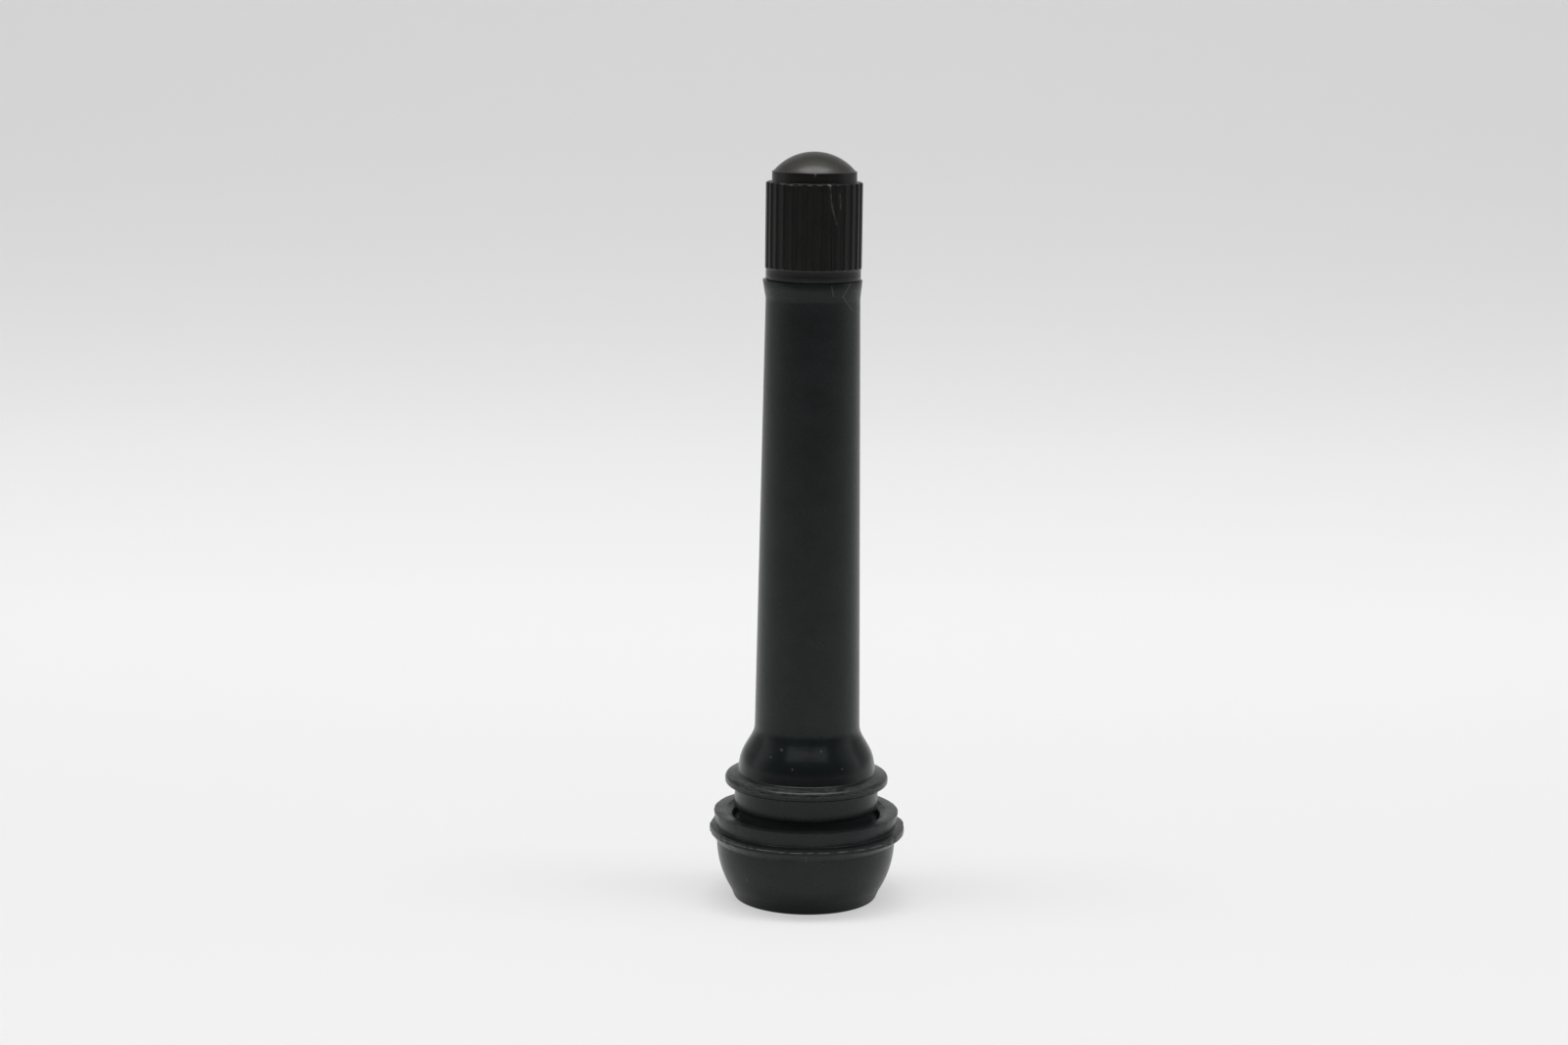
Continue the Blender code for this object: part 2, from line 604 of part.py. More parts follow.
def core_pin(finish, parent):
    tail_radius = PIN_RADIUS + PIN_TAIL_SPREAD
    seat_radius = BARREL_BORE - SPRING_SEAT_ROOM
    outline = rounded([
        (0.0, PIN_TOP),
        (PIN_HEAD_RADIUS, PIN_TOP, PIN_HEAD_RADIUS / 3),
        (PIN_HEAD_RADIUS, PIN_TOP - PIN_HEAD_LENGTH),
        (PIN_RADIUS, PIN_TOP - PIN_HEAD_LENGTH),
        (PIN_RADIUS, SPRING_SEAT_TOP),
        (seat_radius, SPRING_SEAT_TOP),
        (seat_radius, SPRING_SEAT_BASE),
        (PIN_RADIUS, SPRING_SEAT_BASE),
        (PIN_RADIUS, TAIL_TOP),
        (tail_radius, TAIL_TOP),
        (tail_radius, TAIL_END, PIN_TAIL_SPREAD / 2),
        (0.0, TAIL_END),
    ])
    return turned("core_pin", outline, PIN_SIDES, finish, parent)


def plunger_cup(finish, parent):
    inside = BARREL_TUBE + BOND
    hole = PIN_RADIUS + BOND
    outline = rounded([
        (hole, CUP_BASE),
        (CUP_RADIUS, CUP_BASE, CUP_WALL),
        (CUP_RADIUS, CUP_RIM),
        (inside, CUP_RIM),
        (inside, CUP_INSIDE),
        (hole, CUP_INSIDE),
    ])
    return turned("plunger_cup", outline, CORE_SIDES, finish, parent)


def plunger_seal(finish, parent):
    hole = PIN_RADIUS + BOND
    outline = [
        (hole, SEAL_BASE),
        (BARREL_TUBE, SEAL_BASE),
        (BARREL_TUBE, SEAL_TOP),
        (hole, SEAL_TOP),
    ]
    return turned("plunger_seal", outline, CORE_SIDES, finish, parent)


def build():
    clear_scene()
    moulded_rubber = material("moulded_rubber", (0.017, 0.021, 0.023), 0.4)
    seal_rubber = material("seal_rubber", (0.02, 0.02, 0.02), 0.6)
    cap_plastic = material("cap_plastic", (0.01, 0.0105, 0.0095), 0.45)
    turned_brass = material("turned_brass", (0.62, 0.43, 0.17), 0.3, 1.0)
    spring_steel = material("spring_steel", (0.5, 0.5, 0.5), 0.25, 1.0)
    gasket_rubber = material("gasket_rubber", (0.35, 0.02, 0.015), 0.5)

    rubber_body(moulded_rubber)
    brass_stem(turned_brass)

    cap_axis = axis_empty("cap_axis", height=MOUTH)
    cap_shell(cap_plastic, cap_axis)
    cap_seal(seal_rubber, cap_axis)

    core_axis = axis_empty("core_axis", height=MOUTH)
    core_plug(turned_brass, core_axis)
    core_barrel(turned_brass, core_axis)
    barrel_gasket(gasket_rubber, core_axis)
    core_spring(spring_steel, core_axis)

    pin_axis = axis_empty("pin_axis", parent=core_axis)
    core_pin(turned_brass, pin_axis)
    plunger_cup(turned_brass, pin_axis)
    plunger_seal(seal_rubber, pin_axis)


build()
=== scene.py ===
# A long snap-in tyre valve, dressed for its picture.
# Sizes are in millimetres, up to the moment a mesh is finished and scaled to metres.

import json
import math

import bmesh
import bpy
from mathutils import Matrix, Vector, noise


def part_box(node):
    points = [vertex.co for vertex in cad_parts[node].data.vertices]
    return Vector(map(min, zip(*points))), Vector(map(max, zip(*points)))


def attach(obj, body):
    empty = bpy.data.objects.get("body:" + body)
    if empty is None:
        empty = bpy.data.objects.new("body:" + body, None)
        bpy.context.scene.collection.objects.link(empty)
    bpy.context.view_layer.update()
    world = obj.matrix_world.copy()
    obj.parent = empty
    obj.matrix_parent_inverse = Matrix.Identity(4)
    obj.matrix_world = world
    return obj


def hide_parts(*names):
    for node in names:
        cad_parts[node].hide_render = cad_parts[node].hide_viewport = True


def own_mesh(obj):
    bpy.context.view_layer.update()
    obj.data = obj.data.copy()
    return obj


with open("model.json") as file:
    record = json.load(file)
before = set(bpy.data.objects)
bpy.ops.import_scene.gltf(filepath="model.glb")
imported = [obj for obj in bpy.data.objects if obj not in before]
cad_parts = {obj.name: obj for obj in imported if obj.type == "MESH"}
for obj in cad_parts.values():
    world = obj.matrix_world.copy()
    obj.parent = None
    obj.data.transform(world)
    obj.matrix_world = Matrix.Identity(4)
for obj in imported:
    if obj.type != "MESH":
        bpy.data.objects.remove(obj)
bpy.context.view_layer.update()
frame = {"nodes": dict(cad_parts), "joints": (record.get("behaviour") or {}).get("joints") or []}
print("frame:", len(frame["nodes"]), "nodes")

mm = 0.001


def nodeSpan(name):  # lowest level, highest level and radius of a CAD node
    low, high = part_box(name)
    return low[2] / mm, high[2] / mm, high[0] / mm


# Levels and radii that pieces share, read from the frame
_, rubberTop, lipRadius = nodeSpan("rubber_body")
stemFoot, mouth, flangeRadius = nodeSpan("brass_stem")
capBase, capTop, capRadius = nodeSpan("cap_shell")
sealBase, sealTop, sealRadius = nodeSpan("cap_seal")
plugFoot, earTop, plugRadius = nodeSpan("core_plug")
pinEnd, pinTop, springSeatRadius = nodeSpan("core_pin")
springBase, springTop, springRadius = nodeSpan("core_spring")
gasketBase, gasketTop, gasketRadius = nodeSpan("barrel_gasket")


# Drawing with outlines, in (radius, level) pairs

weld = 0.0004  # points closer than this become one
sliver = 0.0002  # edges shorter than this are taken out
touching = 1e-6
cornerShare = 0.49  # how much of the shorter side a rounding may take


def bend(angle, arm):  # an arm from a centre, turned in the plane of the outline
    return Matrix.Rotation(angle, 2) @ arm


def turnBetween(first, last):
    return math.atan2(first.x * last.y - first.y * last.x, first.dot(last))


def arcOutline(start, end, radius, steps):  # its centre is on the left of the way there
    start, end = Vector(start), Vector(end)
    chord = end - start
    left = Vector((-chord.y, chord.x)).normalized()
    centre = (start + end) / 2 + left * math.sqrt(radius**2 - (chord.length / 2) ** 2)
    first = start - centre
    turn = turnBetween(first, end - centre)
    return [tuple(centre + bend(turn * step / steps, first)) for step in range(steps + 1)]


def roundedOutline(corners, turnStep=9.0, chordStep=0.05):  # a corner's third number rounds it
    outline = []
    for before, corner, after in zip([None, *corners], corners, [*corners[1:], None]):
        here = Vector(corner[:2])
        if len(corner) == 2 or before is None or after is None:
            outline.append(tuple(here))
            continue
        back, ahead = Vector(before[:2]) - here, Vector(after[:2]) - here
        half = back.angle(ahead) / 2
        space = min(back.length, ahead.length) * cornerShare
        radius = min(corner[2], space * math.tan(half))
        back.normalize()
        ahead.normalize()
        centre = here + (back + ahead).normalized() * radius / math.sin(half)
        start = here + back * radius / math.tan(half) - centre
        end = here + ahead * radius / math.tan(half) - centre
        turn = turnBetween(start, end)
        byAngle = abs(turn) / math.radians(turnStep)
        byLength = abs(turn) * radius / chordStep
        steps = max(2, round(min(byAngle, byLength)))
        for step in range(steps + 1):
            outline.append(tuple(centre + bend(turn * step / steps, start)))
    return outline


def finely(outline, longest):  # adds points, so that no step of the outline is longer than this
    points = [outline[0]]
    for start, end in zip(outline, outline[1:]):
        steps = max(1, math.ceil((Vector(end) - Vector(start)).length / longest))
        for step in range(1, steps + 1):
            points.append(tuple(Vector(start).lerp(Vector(end), step / steps)))
    return points


def around(radius, level, angle):
    return (radius * math.cos(angle), radius * math.sin(angle), level)


def skinTube(mesh, rings, sides):  # faces between closed rings of the same number of points
    for ring, following in zip(rings, rings[1:]):
        for side in range(sides):
            after = (side + 1) % sides
            corners = dict.fromkeys((ring[side], ring[after], following[after], following[side]))
            if len(corners) > 2:
                mesh.faces.new(list(corners))


def revolve(mesh, outline, sides, shape=None):  # shape may move each point of the turned surface
    rings = []
    for radius, level in outline:
        if radius < touching:
            rings.append([mesh.verts.new((0.0, 0.0, level))] * sides)
            continue
        ring = []
        for side in range(sides):
            angle = math.tau * side / sides
            r, z = shape(radius, level, angle) if shape else (radius, level)
            ring.append(mesh.verts.new(around(r, z, angle)))
        rings.append(ring)
    skinTube(mesh, rings, sides)


# Phase and depth of the points across one pitch of a rolled thread
threadProfile = [
    (0.0, 0.0),
    (0.1, 0.0),
    (0.16, 0.1),
    (0.44, 0.9),
    (0.5, 1.0),
    (0.6, 1.0),
    (0.66, 0.9),
    (0.94, 0.1),
]


def threadSkin(mesh, sides, pitch, low, high, radiusAt):  # its rows climb, and fold up at both ends
    lines = []
    for turn in range(math.floor(low / pitch) - 2, math.ceil(high / pitch) + 1):
        for phase, depth in threadProfile:
            line = []
            for side in range(sides + 1):
                level = min(max((turn + phase + side / sides) * pitch, low), high)
                spot = around(radiusAt(level, depth), level, math.tau * side / sides)
                line.append(mesh.verts.new(spot))
            lines.append(line)
    for line, following in zip(lines, lines[1:]):
        for side in range(sides):
            corners = (line[side], line[side + 1], following[side + 1], following[side])
            levels = [corner.co.z for corner in corners]
            if max(levels) - min(levels) > touching:
                mesh.faces.new(corners)
    loose = [point for point in mesh.verts if not point.link_faces]
    bmesh.ops.delete(mesh, geom=loose, context="VERTS")


def ramp(value, low, high):  # 0 below low, 1 above high and smooth between them
    share = min(max((value - low) / (high - low), 0.0), 1.0)
    return share * share * (3 - 2 * share)


def addObject(name, mesh, finish):  # scaled to metres
    mesh.transform(Matrix.Scale(mm, 4))
    data = bpy.data.meshes.new(name)
    mesh.to_mesh(data)
    mesh.free()
    data.shade_smooth()
    data.materials.append(finish["material"])
    made = bpy.data.objects.new(name, data)
    bpy.context.scene.collection.objects.link(made)
    return made


def finishPiece(name, mesh, finish, body, node, sharp=32.0):
    bmesh.ops.remove_doubles(mesh, verts=mesh.verts, dist=weld)
    bmesh.ops.dissolve_degenerate(mesh, edges=mesh.edges, dist=sliver)
    bmesh.ops.recalc_face_normals(mesh, faces=mesh.faces)
    piece = addObject(name, mesh, finish)
    piece.data.set_sharp_from_angle(angle=math.radians(sharp))
    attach(piece, body)
    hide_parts(node)
    print("piece:", name, len(piece.data.polygons), "faces")
    return piece


# Shader nodes, written as arithmetic


class Wire:  # one socket of a shader
    def __init__(self, shader, socket):
        self.shader = shader
        self.socket = socket

    def other(self, name):  # another output of the same node
        return Wire(self.shader, self.socket.node.outputs[name])

    def __add__(self, value):
        return self.shader.maths("ADD", self, value)

    def __radd__(self, value):
        return self.shader.maths("ADD", value, self)

    def __sub__(self, value):
        return self.shader.maths("SUBTRACT", self, value)

    def __rsub__(self, value):
        return self.shader.maths("SUBTRACT", value, self)

    def __mul__(self, value):
        return self.shader.maths("MULTIPLY", self, value)

    def __rmul__(self, value):
        return self.shader.maths("MULTIPLY", value, self)


class Shader:
    def __init__(self, owner):  # a material or a world
        owner.use_nodes = True
        self.tree = owner.node_tree
        self.tree.nodes.clear()

    def node(self, kind, settings=None, sockets=None, out=0):
        made = self.tree.nodes.new(kind)
        for name, value in (settings or {}).items():
            setattr(made, name, value)
        for name, value in (sockets or {}).items():
            if isinstance(value, Wire):
                self.tree.links.new(value.socket, made.inputs[name])
            else:
                made.inputs[name].default_value = value
        return Wire(self, made.outputs[out]) if made.outputs else None

    def maths(self, operation, *values):
        return self.node("ShaderNodeMath", {"operation": operation}, dict(enumerate(values)))

    def vectorMaths(self, operation, sockets, out=0):
        return self.node("ShaderNodeVectorMath", {"operation": operation}, sockets, out)

    def seen(self):  # 1 for what the camera sees, straight or in a reflection
        camera = self.node("ShaderNodeLightPath", out="Is Camera Ray")
        glossy, through = camera.other("Is Glossy Ray"), camera.other("Is Transmission Ray")
        return self.maths("MAXIMUM", camera, self.maths("MAXIMUM", glossy, through))

    def mask(self, value, low, high):  # 0 at low and 1 at high, whichever is larger
        if low > high:
            return 1 - self.mask(value, high, low)
        sockets = {"Value": value, "From Min": low, "From Max": high}
        return self.node("ShaderNodeMapRange", {"interpolation_type": "SMOOTHSTEP"}, sockets)

    def band(self, value, low, high, soft):  # 1 between low and high
        return self.mask(value, low - soft, low) * self.mask(value, high + soft, high)

    def blend(self, share, first, second):  # colours, or links that carry them
        settings = {"data_type": "RGBA"}
        colours = [(*c, 1.0) if isinstance(c, tuple) else c for c in (first, second)]
        return self.node("ShaderNodeMix", settings, {0: share, 6: colours[0], 7: colours[1]}, 2)


class Finish(Shader):  # a material that knows its place on the piece, in millimetres
    def __init__(self, name, slot=None):
        self.material = bpy.data.materials.new(name)
        super().__init__(self.material)
        self.slot = slot
        place = self.node("ShaderNodeTexCoord", out="Object")
        self.spot = self.vectorMaths("SCALE", {0: place, "Scale": 1 / mm})
        self.depth = self.node("ShaderNodeSeparateXYZ", {}, {0: self.spot}, "Y")
        self.level = self.depth.other("Z")
        flat = self.vectorMaths("MULTIPLY", {0: self.spot, 1: (1, 1, 0)})
        self.radius = self.vectorMaths("LENGTH", {0: flat}, "Value")

    def grain(self, scale, detail=2.0, roughness=0.5, stretch=(1, 1, 1)):
        spot = self.vectorMaths("MULTIPLY", {0: self.spot, 1: stretch})
        sockets = {"Vector": spot, "Scale": scale, "Detail": detail, "Roughness": roughness}
        return self.node("ShaderNodeTexNoise", {}, sockets, "Fac")

    def specks(self, scale, size, rarity):  # small dots of dust, on a few of the cells
        sockets = {"Vector": self.spot, "Scale": scale}
        cell = self.node("ShaderNodeTexVoronoi", {}, sockets, "Distance")
        chosen = self.node("ShaderNodeSeparateColor", {}, {0: cell.other("Color")}, "Red")
        return self.mask(cell, size, size * 0.4) * self.mask(chosen, rarity, rarity + 0.01)

    def scratch(self, start, end, width):  # a thin mark on the front, between two (X, Z) spots
        start, end = (Vector((x, 0.0, z)) for x, z in (start, end))
        way = end - start
        flat = self.vectorMaths("MULTIPLY", {0: self.spot, 1: (1, 0, 1)})
        offset = self.vectorMaths("SUBTRACT", {0: flat, 1: start})
        along = self.vectorMaths("DOT_PRODUCT", {0: offset, 1: way}, "Value")
        share = self.node("ShaderNodeClamp", {}, {"Value": along * (1 / way.length_squared)})
        reach = self.vectorMaths("SCALE", {0: way, "Scale": share})
        aside = self.vectorMaths("SUBTRACT", {0: offset, 1: reach})
        away = self.vectorMaths("LENGTH", {0: aside}, "Value")
        return self.mask(away, width, width * 0.3) * self.mask(self.depth, 0.0, -1.0)

    def scratches(self, marks):
        return sum((self.scratch(*mark) for mark in marks[1:]), self.scratch(*marks[0]))

    def dot(self, place, size):  # one small round spot on the front
        x, z = place
        return self.scratch((x - 0.01, z), (x + 0.01, z), size)

    def bump(self, height, depth, strength=1.0, under=None):
        sockets = {"Height": height, "Distance": depth * mm, "Strength": strength}
        return self.node("ShaderNodeBump", {}, {**sockets, **({"Normal": under} if under else {})})

    def finish(self, surface):
        self.node("ShaderNodeOutputMaterial", {}, {"Surface": surface})
        return {"material": self.material, "slot": self.slot}

    def skin(self, sockets):
        return self.node("ShaderNodeBsdfPrincipled", {}, sockets)


# Brass stem, with its rolled cap thread and the tapped chamber for the core

brass = {
    "threadRadius": 3.84,
    "threadDepth": 0.42,
    "threadPitch": 0.794,
    "shankRadius": 3.64,
    "threadStart": 0.8,  # above the rubber
    "threadRunIn": 0.7,
    "mouthChamfer": 0.5,
    "mouthLead": 0.25,
    "coreThreadDepth": 0.3,
    "corePitch": 0.7056,
    "coreThreadEnd": 7.7,  # below the mouth
    "coreThreadRunOut": 0.6,
    "chamberRadius": 2.64,
    "chamberLead": 0.6,
    "seatRadius": 2.0,
    "seatEnd": 18.25,  # below the mouth
    "boreRadius": 1.6,
    "flangeThickness": 1.5,
    "bondGrooves": 2,
    "bondWidth": 1.2,
    "bondDepth": 0.3,
    "bondSpacing": 3.6,
    "bondGap": 0.05,
    "sides": 120,
}


def shankOutline(gap):  # from above down, and with a gap it is the rubber's bore
    flangeTop = stemFoot + brass["flangeThickness"]
    shank = brass["shankRadius"] + gap
    corners = []
    for turn in range(brass["bondGrooves"], 0, -1):
        top = flangeTop + brass["bondSpacing"] * turn - gap
        bottom = flangeTop + brass["bondSpacing"] * turn - brass["bondWidth"] + gap
        inner = shank - brass["bondDepth"]
        corners += [(shank, top), (inner, top), (inner, bottom), (shank, bottom)]
    slope = flangeRadius - brass["shankRadius"]
    corners.append((shank, flangeTop + slope + gap / 2))
    corners.append((flangeRadius + gap, flangeTop + gap / 2))
    corners.append((flangeRadius + gap, stemFoot - gap))
    return corners


def capThreadRadius(level, depth):
    cutRadius = brass["threadRadius"] - brass["threadDepth"] * depth
    start = rubberTop + brass["threadStart"]
    rise = ramp(level, start, start + brass["threadRunIn"])
    grown = brass["shankRadius"] + (cutRadius - brass["shankRadius"]) * rise
    chamfer = brass["threadRadius"] - brass["mouthChamfer"] + (mouth - level)
    return min(grown, chamfer)


def coreThreadRadius(level, depth):
    end = mouth - brass["coreThreadEnd"]
    taken = brass["coreThreadDepth"] * depth * ramp(level, end, end + brass["coreThreadRunOut"])
    lead = brass["chamberRadius"] + brass["mouthLead"] - (mouth - level)
    return max(brass["chamberRadius"] - taken, lead)


def makeBrassStem(finish):
    mesh = bmesh.new()
    sides = brass["sides"]
    start = rubberTop + brass["threadStart"]
    tapped = mouth - brass["coreThreadEnd"]
    threadSkin(mesh, sides, brass["threadPitch"], start, mouth, capThreadRadius)
    threadSkin(mesh, sides, brass["corePitch"], tapped, mouth, coreThreadRadius)
    mouthInner = brass["chamberRadius"] + brass["mouthLead"]
    mouthOuter = brass["threadRadius"] - brass["mouthChamfer"]
    revolve(mesh, [(mouthInner, mouth), (mouthOuter, mouth)], sides)
    gasketWall = gasketRadius + brass["bondGap"]
    seatEnd = mouth - brass["seatEnd"]
    lower = [
        (brass["shankRadius"], start),
        *shankOutline(0.0),
        (brass["boreRadius"], stemFoot),
        (brass["boreRadius"], seatEnd - (brass["seatRadius"] - brass["boreRadius"])),
        (brass["seatRadius"], seatEnd),
        (brass["seatRadius"], gasketBase),
        (gasketWall, gasketTop),
        (gasketWall, gasketTop + brass["bondGap"]),
        (brass["chamberRadius"], gasketTop + brass["chamberLead"]),
        (brass["chamberRadius"], tapped),
    ]
    revolve(mesh, lower, sides)
    return finishPiece("brassStem", mesh, finish, "stem", "brass_stem")


# Rubber body

rubber = {
    "bowlRadius": 9.2,
    "bowlHeight": 6.1,
    "bowlTuck": 1.9,
    "bowlSteps": 16,
    "footRound": 0.4,
    "footRing": 2.6,
    "footRingRound": 0.1,
    "footRecess": 0.8,
    "airHole": 2.2,
    "lipBase": 6.95,
    "lipThickness": 0.62,
    "lipRound": 0.1,
    "flashLevel": 7.27,  # the thin line that the mould left round the lip
    "flashHeight": 0.035,
    "landHeight": 9.2,
    "landEdge": 9.53,
    "landRound": 0.07,
    "landFlare": 0.23,
    "landWidth": 1.25,
    "landStep": 0.1,
    "stepRound": 0.05,
    "grooveEdge": 7.6,
    "grooveFall": 0.3,  # from the step on the land to the groove's edge
    "grooveFoot": 7.42,
    "grooveDepth": 1.05,
    "neckRadius": 6.85,
    "neckFillet": 0.34,
    "neckRound": 0.17,
    "barrelBase": 9.64,
    "barrelRadius": 7.4,
    "barrelRound": 0.12,
    "ringBase": 12.1,
    "ringTop": 13.0,
    "ringRadius": 8.4,
    "ringShoulder": 0.44,
    "ringEdge": 0.3,
    "ringSlope": 0.34,  # how much the ring's top rises towards the bulb
    "ringRoot": 0.15,
    "bulbRadius": 7.08,
    "bulbDraft": 0.2,
    "bulbTop": 15.14,
    "bulbRound": 5.4,
    "sleeveBase": 17.64,
    "sleeveFillet": 2.2,
    "sleeveRadius": 4.77,
    "sleeveTaper": 0.64,
    "collarLength": 1.9,
    "collarFlare": 0.2,
    "collarFillet": 2.0,
    "collarRound": 0.04,
    "flash": 0.09,  # how far the trimmed edge of the lip wanders
    "flashLean": 0.28,  # how much further it stands out on one side
    "collarLean": 0.12,  # the same for the collar, on the other side
    "landWaver": 0.07,  # how far the cut land wanders in height
    "landRipple": 0.05,  # and in width
    "longestStep": 1.2,
    "sides": 240,
}


def wander(radius, angle, length, seed):  # a slow random drift round a turned edge
    spot = Vector(around(radius, 0, angle)) / length
    return noise.noise(spot + Vector((0, 0, seed)))


def rubberShape(radius, level, angle):  # the flash left on the lip, and the cut on the land
    lipMiddle = rubber["lipBase"] + rubber["lipThickness"] / 2
    onLip = ramp(radius, rubber["bowlRadius"] + 0.25, lipRadius - 0.15)
    onLip *= ramp(0.7 - abs(level - lipMiddle), 0, 0.3)  # fades out 0.7 above and below
    ragged = wander(lipRadius, angle, 2.2, 3) + 0.7 * wander(lipRadius, angle, 0.6, 8)
    radius += onLip * rubber["flash"] * ragged
    radius += onLip * rubber["flashLean"] * ramp(math.cos(angle), 0.1, 1.0)
    level += onLip * rubber["flash"] * wander(lipRadius, angle, 3.5, 5)
    landMiddle = rubber["landEdge"] - rubber["landWidth"] / 2
    onLand = ramp(0.9 - abs(radius - landMiddle), 0, 0.2)
    onLand *= ramp(0.2 - abs(level - rubber["landHeight"]), 0, 0.1)
    level += onLand * rubber["landWaver"] * wander(landMiddle, angle, 2.5, 11)
    radius += onLand * rubber["landRipple"] * wander(landMiddle, angle, 0.8, 17)
    if radius > rubber["sleeveRadius"] - 0.2:
        collar = ramp(level, rubberTop - rubber["collarLength"], rubberTop)
        radius += collar * rubber["collarLean"] * ramp(-math.cos(angle), 0.1, 1.0)
    return radius, level


def makeRubberBody(finish):
    foot = rubber["bowlRadius"] - rubber["bowlTuck"]
    rise = rubber["bowlHeight"] - rubber["footRound"]
    bowlArc = (rise**2 + rubber["bowlTuck"] ** 2) / (2 * rubber["bowlTuck"])
    bowlTop = (rubber["bowlRadius"], rubber["bowlHeight"])
    bowl = arcOutline((foot, rubber["footRound"]), bowlTop, bowlArc, rubber["bowlSteps"])
    recess = foot - rubber["footRing"]
    base = roundedOutline([
        (rubber["airHole"], rubber["footRecess"]),
        (recess, rubber["footRecess"], rubber["footRecess"] / 2),
        (recess + rubber["footRecess"] / 2, 0.0, rubber["footRingRound"]),
        (foot, 0.0, rubber["footRound"]),
        bowl[2],
    ])
    lipRound, lipBase = rubber["lipRound"], rubber["lipBase"]
    lipTop = lipBase + rubber["lipThickness"]
    flashLevel, flash = rubber["flashLevel"], rubber["flashHeight"]
    landHeight, landEdge = rubber["landHeight"], rubber["landEdge"]
    landInner = landEdge - rubber["landWidth"]
    step = rubber["landStep"]
    grooveRoot = landHeight - step - rubber["grooveDepth"]
    sleeve = rubber["sleeveRadius"]
    upper = roundedOutline([
        bowl[-1],
        (lipRadius - flash, lipBase, lipRound),
        (lipRadius - flash, flashLevel - flash),
        (lipRadius, flashLevel, flash / 2),
        (lipRadius - flash, flashLevel + flash),
        (lipRadius - flash, lipTop, lipRound / 2),
        (landEdge - rubber["landFlare"], lipTop + lipRound, lipRound),
        (landEdge, landHeight, rubber["landRound"]),
        (landInner, landHeight, rubber["stepRound"]),
        (landInner - step, landHeight - step, rubber["stepRound"]),
        (rubber["grooveEdge"], landHeight - step - rubber["grooveFall"], rubber["neckRound"]),
        (rubber["grooveFoot"], grooveRoot, rubber["neckFillet"]),
        (rubber["neckRadius"], grooveRoot, rubber["neckFillet"]),
        (rubber["neckRadius"], rubber["barrelBase"], rubber["neckRound"]),
        (rubber["barrelRadius"], rubber["barrelBase"], rubber["barrelRound"]),
        (rubber["barrelRadius"], rubber["ringBase"], rubber["barrelRound"]),
        (rubber["ringRadius"], rubber["ringBase"], rubber["ringEdge"]),
        (rubber["ringRadius"], rubber["ringTop"], rubber["ringShoulder"]),
        (rubber["bulbRadius"], rubber["ringTop"] + rubber["ringSlope"], rubber["ringRoot"]),
        (rubber["bulbRadius"] - rubber["bulbDraft"], rubber["bulbTop"], rubber["bulbRound"]),
        (sleeve + rubber["sleeveTaper"], rubber["sleeveBase"], rubber["sleeveFillet"]),
        (sleeve, rubberTop - rubber["collarLength"], rubber["collarFillet"]),
        (sleeve + rubber["collarFlare"], rubberTop, rubber["collarRound"]),
        (brass["shankRadius"] + brass["bondGap"], rubberTop),
    ])
    bore = [*shankOutline(brass["bondGap"]), (rubber["airHole"], stemFoot - brass["bondGap"])]
    outline = [*base[:-1], *bowl[2:-1], *upper, *bore, base[0]]
    mesh = bmesh.new()
    revolve(mesh, finely(outline, rubber["longestStep"]), rubber["sides"], rubberShape)
    return finishPiece("rubberBody", mesh, finish, "stem", "rubber_body")


# Screw cap

cap = {
    "boreRadius": 3.94,
    "bandHeight": 1.05,
    "bandSetback": 0.07,
    "baseLead": 0.3,
    "boreLead": 0.1,
    "seating": 0.035,  # how far the band comes down towards the rubber
    "threadStart": 1.35,  # above the cap's base
    "threadStop": 0.6,  # below the mouth of the stem
    "threadRunIn": 0.6,
    "threadRunOut": 0.5,
    "edge": 0.05,
    "shoulderRound": 0.2,
    "neckSetback": 0.6,
    "neckHeight": 1.07,
    "neckFillet": 0.08,
    "domeLedge": 0.14,
    "domeHeight": 1.93,
    "pocketSetback": 0.5,
    "recessRadius": 2.0,
    "recessHeight": 0.8,
    "flutes": 30,
    "fluteRadius": 0.3,
    "fluteDepth": 0.19,
    "ledge": 0.05,
    "nubAngle": math.radians(-90),
    "nubHeight": 0.2,
    "nubWidth": 0.2,
    "nubTallness": 0.12,
    "nubDrop": 0.2,  # below the neck's edge
    "domeSteps": 22,
    "longestStep": 0.6,
    "sharp": 38,  # degrees between faces, from which an edge stays sharp
    "sidesPerFlute": 10,
}
fluteBase = capBase + cap["bandHeight"] + cap["bandSetback"] * 2
neckTop = mouth + cap["neckHeight"]


def fluteCut(angle):  # how deep the round cutter goes in at this angle
    pitch = math.tau / cap["flutes"]
    away = abs((angle / pitch) % 1 - 0.5) * pitch * capRadius
    reach = cap["fluteRadius"] - cap["fluteDepth"]
    cutAt = math.sqrt(max(cap["fluteRadius"] ** 2 - away**2, 0.0)) - reach
    return max(cutAt, 0.0)


def capShape(radius, level, angle):  # the flutes, and the nub where the plastic came in
    inFlutes = ramp(level, fluteBase, fluteBase + cap["ledge"])
    if inFlutes and level < mouth + cap["neckHeight"] / 2:
        radius = min(radius, capRadius - fluteCut(angle) * inFlutes)
    aside = math.remainder(angle - cap["nubAngle"], math.tau) * radius
    if radius > 3.6 and abs(aside) < 1 and abs(level - neckTop) < 0.6:  # only where the nub reaches
        across = aside / cap["nubWidth"]
        upward = (level - neckTop + cap["nubDrop"]) / cap["nubTallness"]
        radius += cap["nubHeight"] * math.exp(-(across**2) - upward**2)
    return radius, level


def capBoreRadius(level, depth):  # its thread keeps clear of the stem's by the same step all along
    start = capBase + cap["threadStart"]
    stop = mouth - cap["threadStop"]
    share = ramp(level, start, start + cap["threadRunIn"])
    share *= ramp(stop - level, 0.0, cap["threadRunOut"])
    return cap["boreRadius"] - brass["threadDepth"] * depth * share


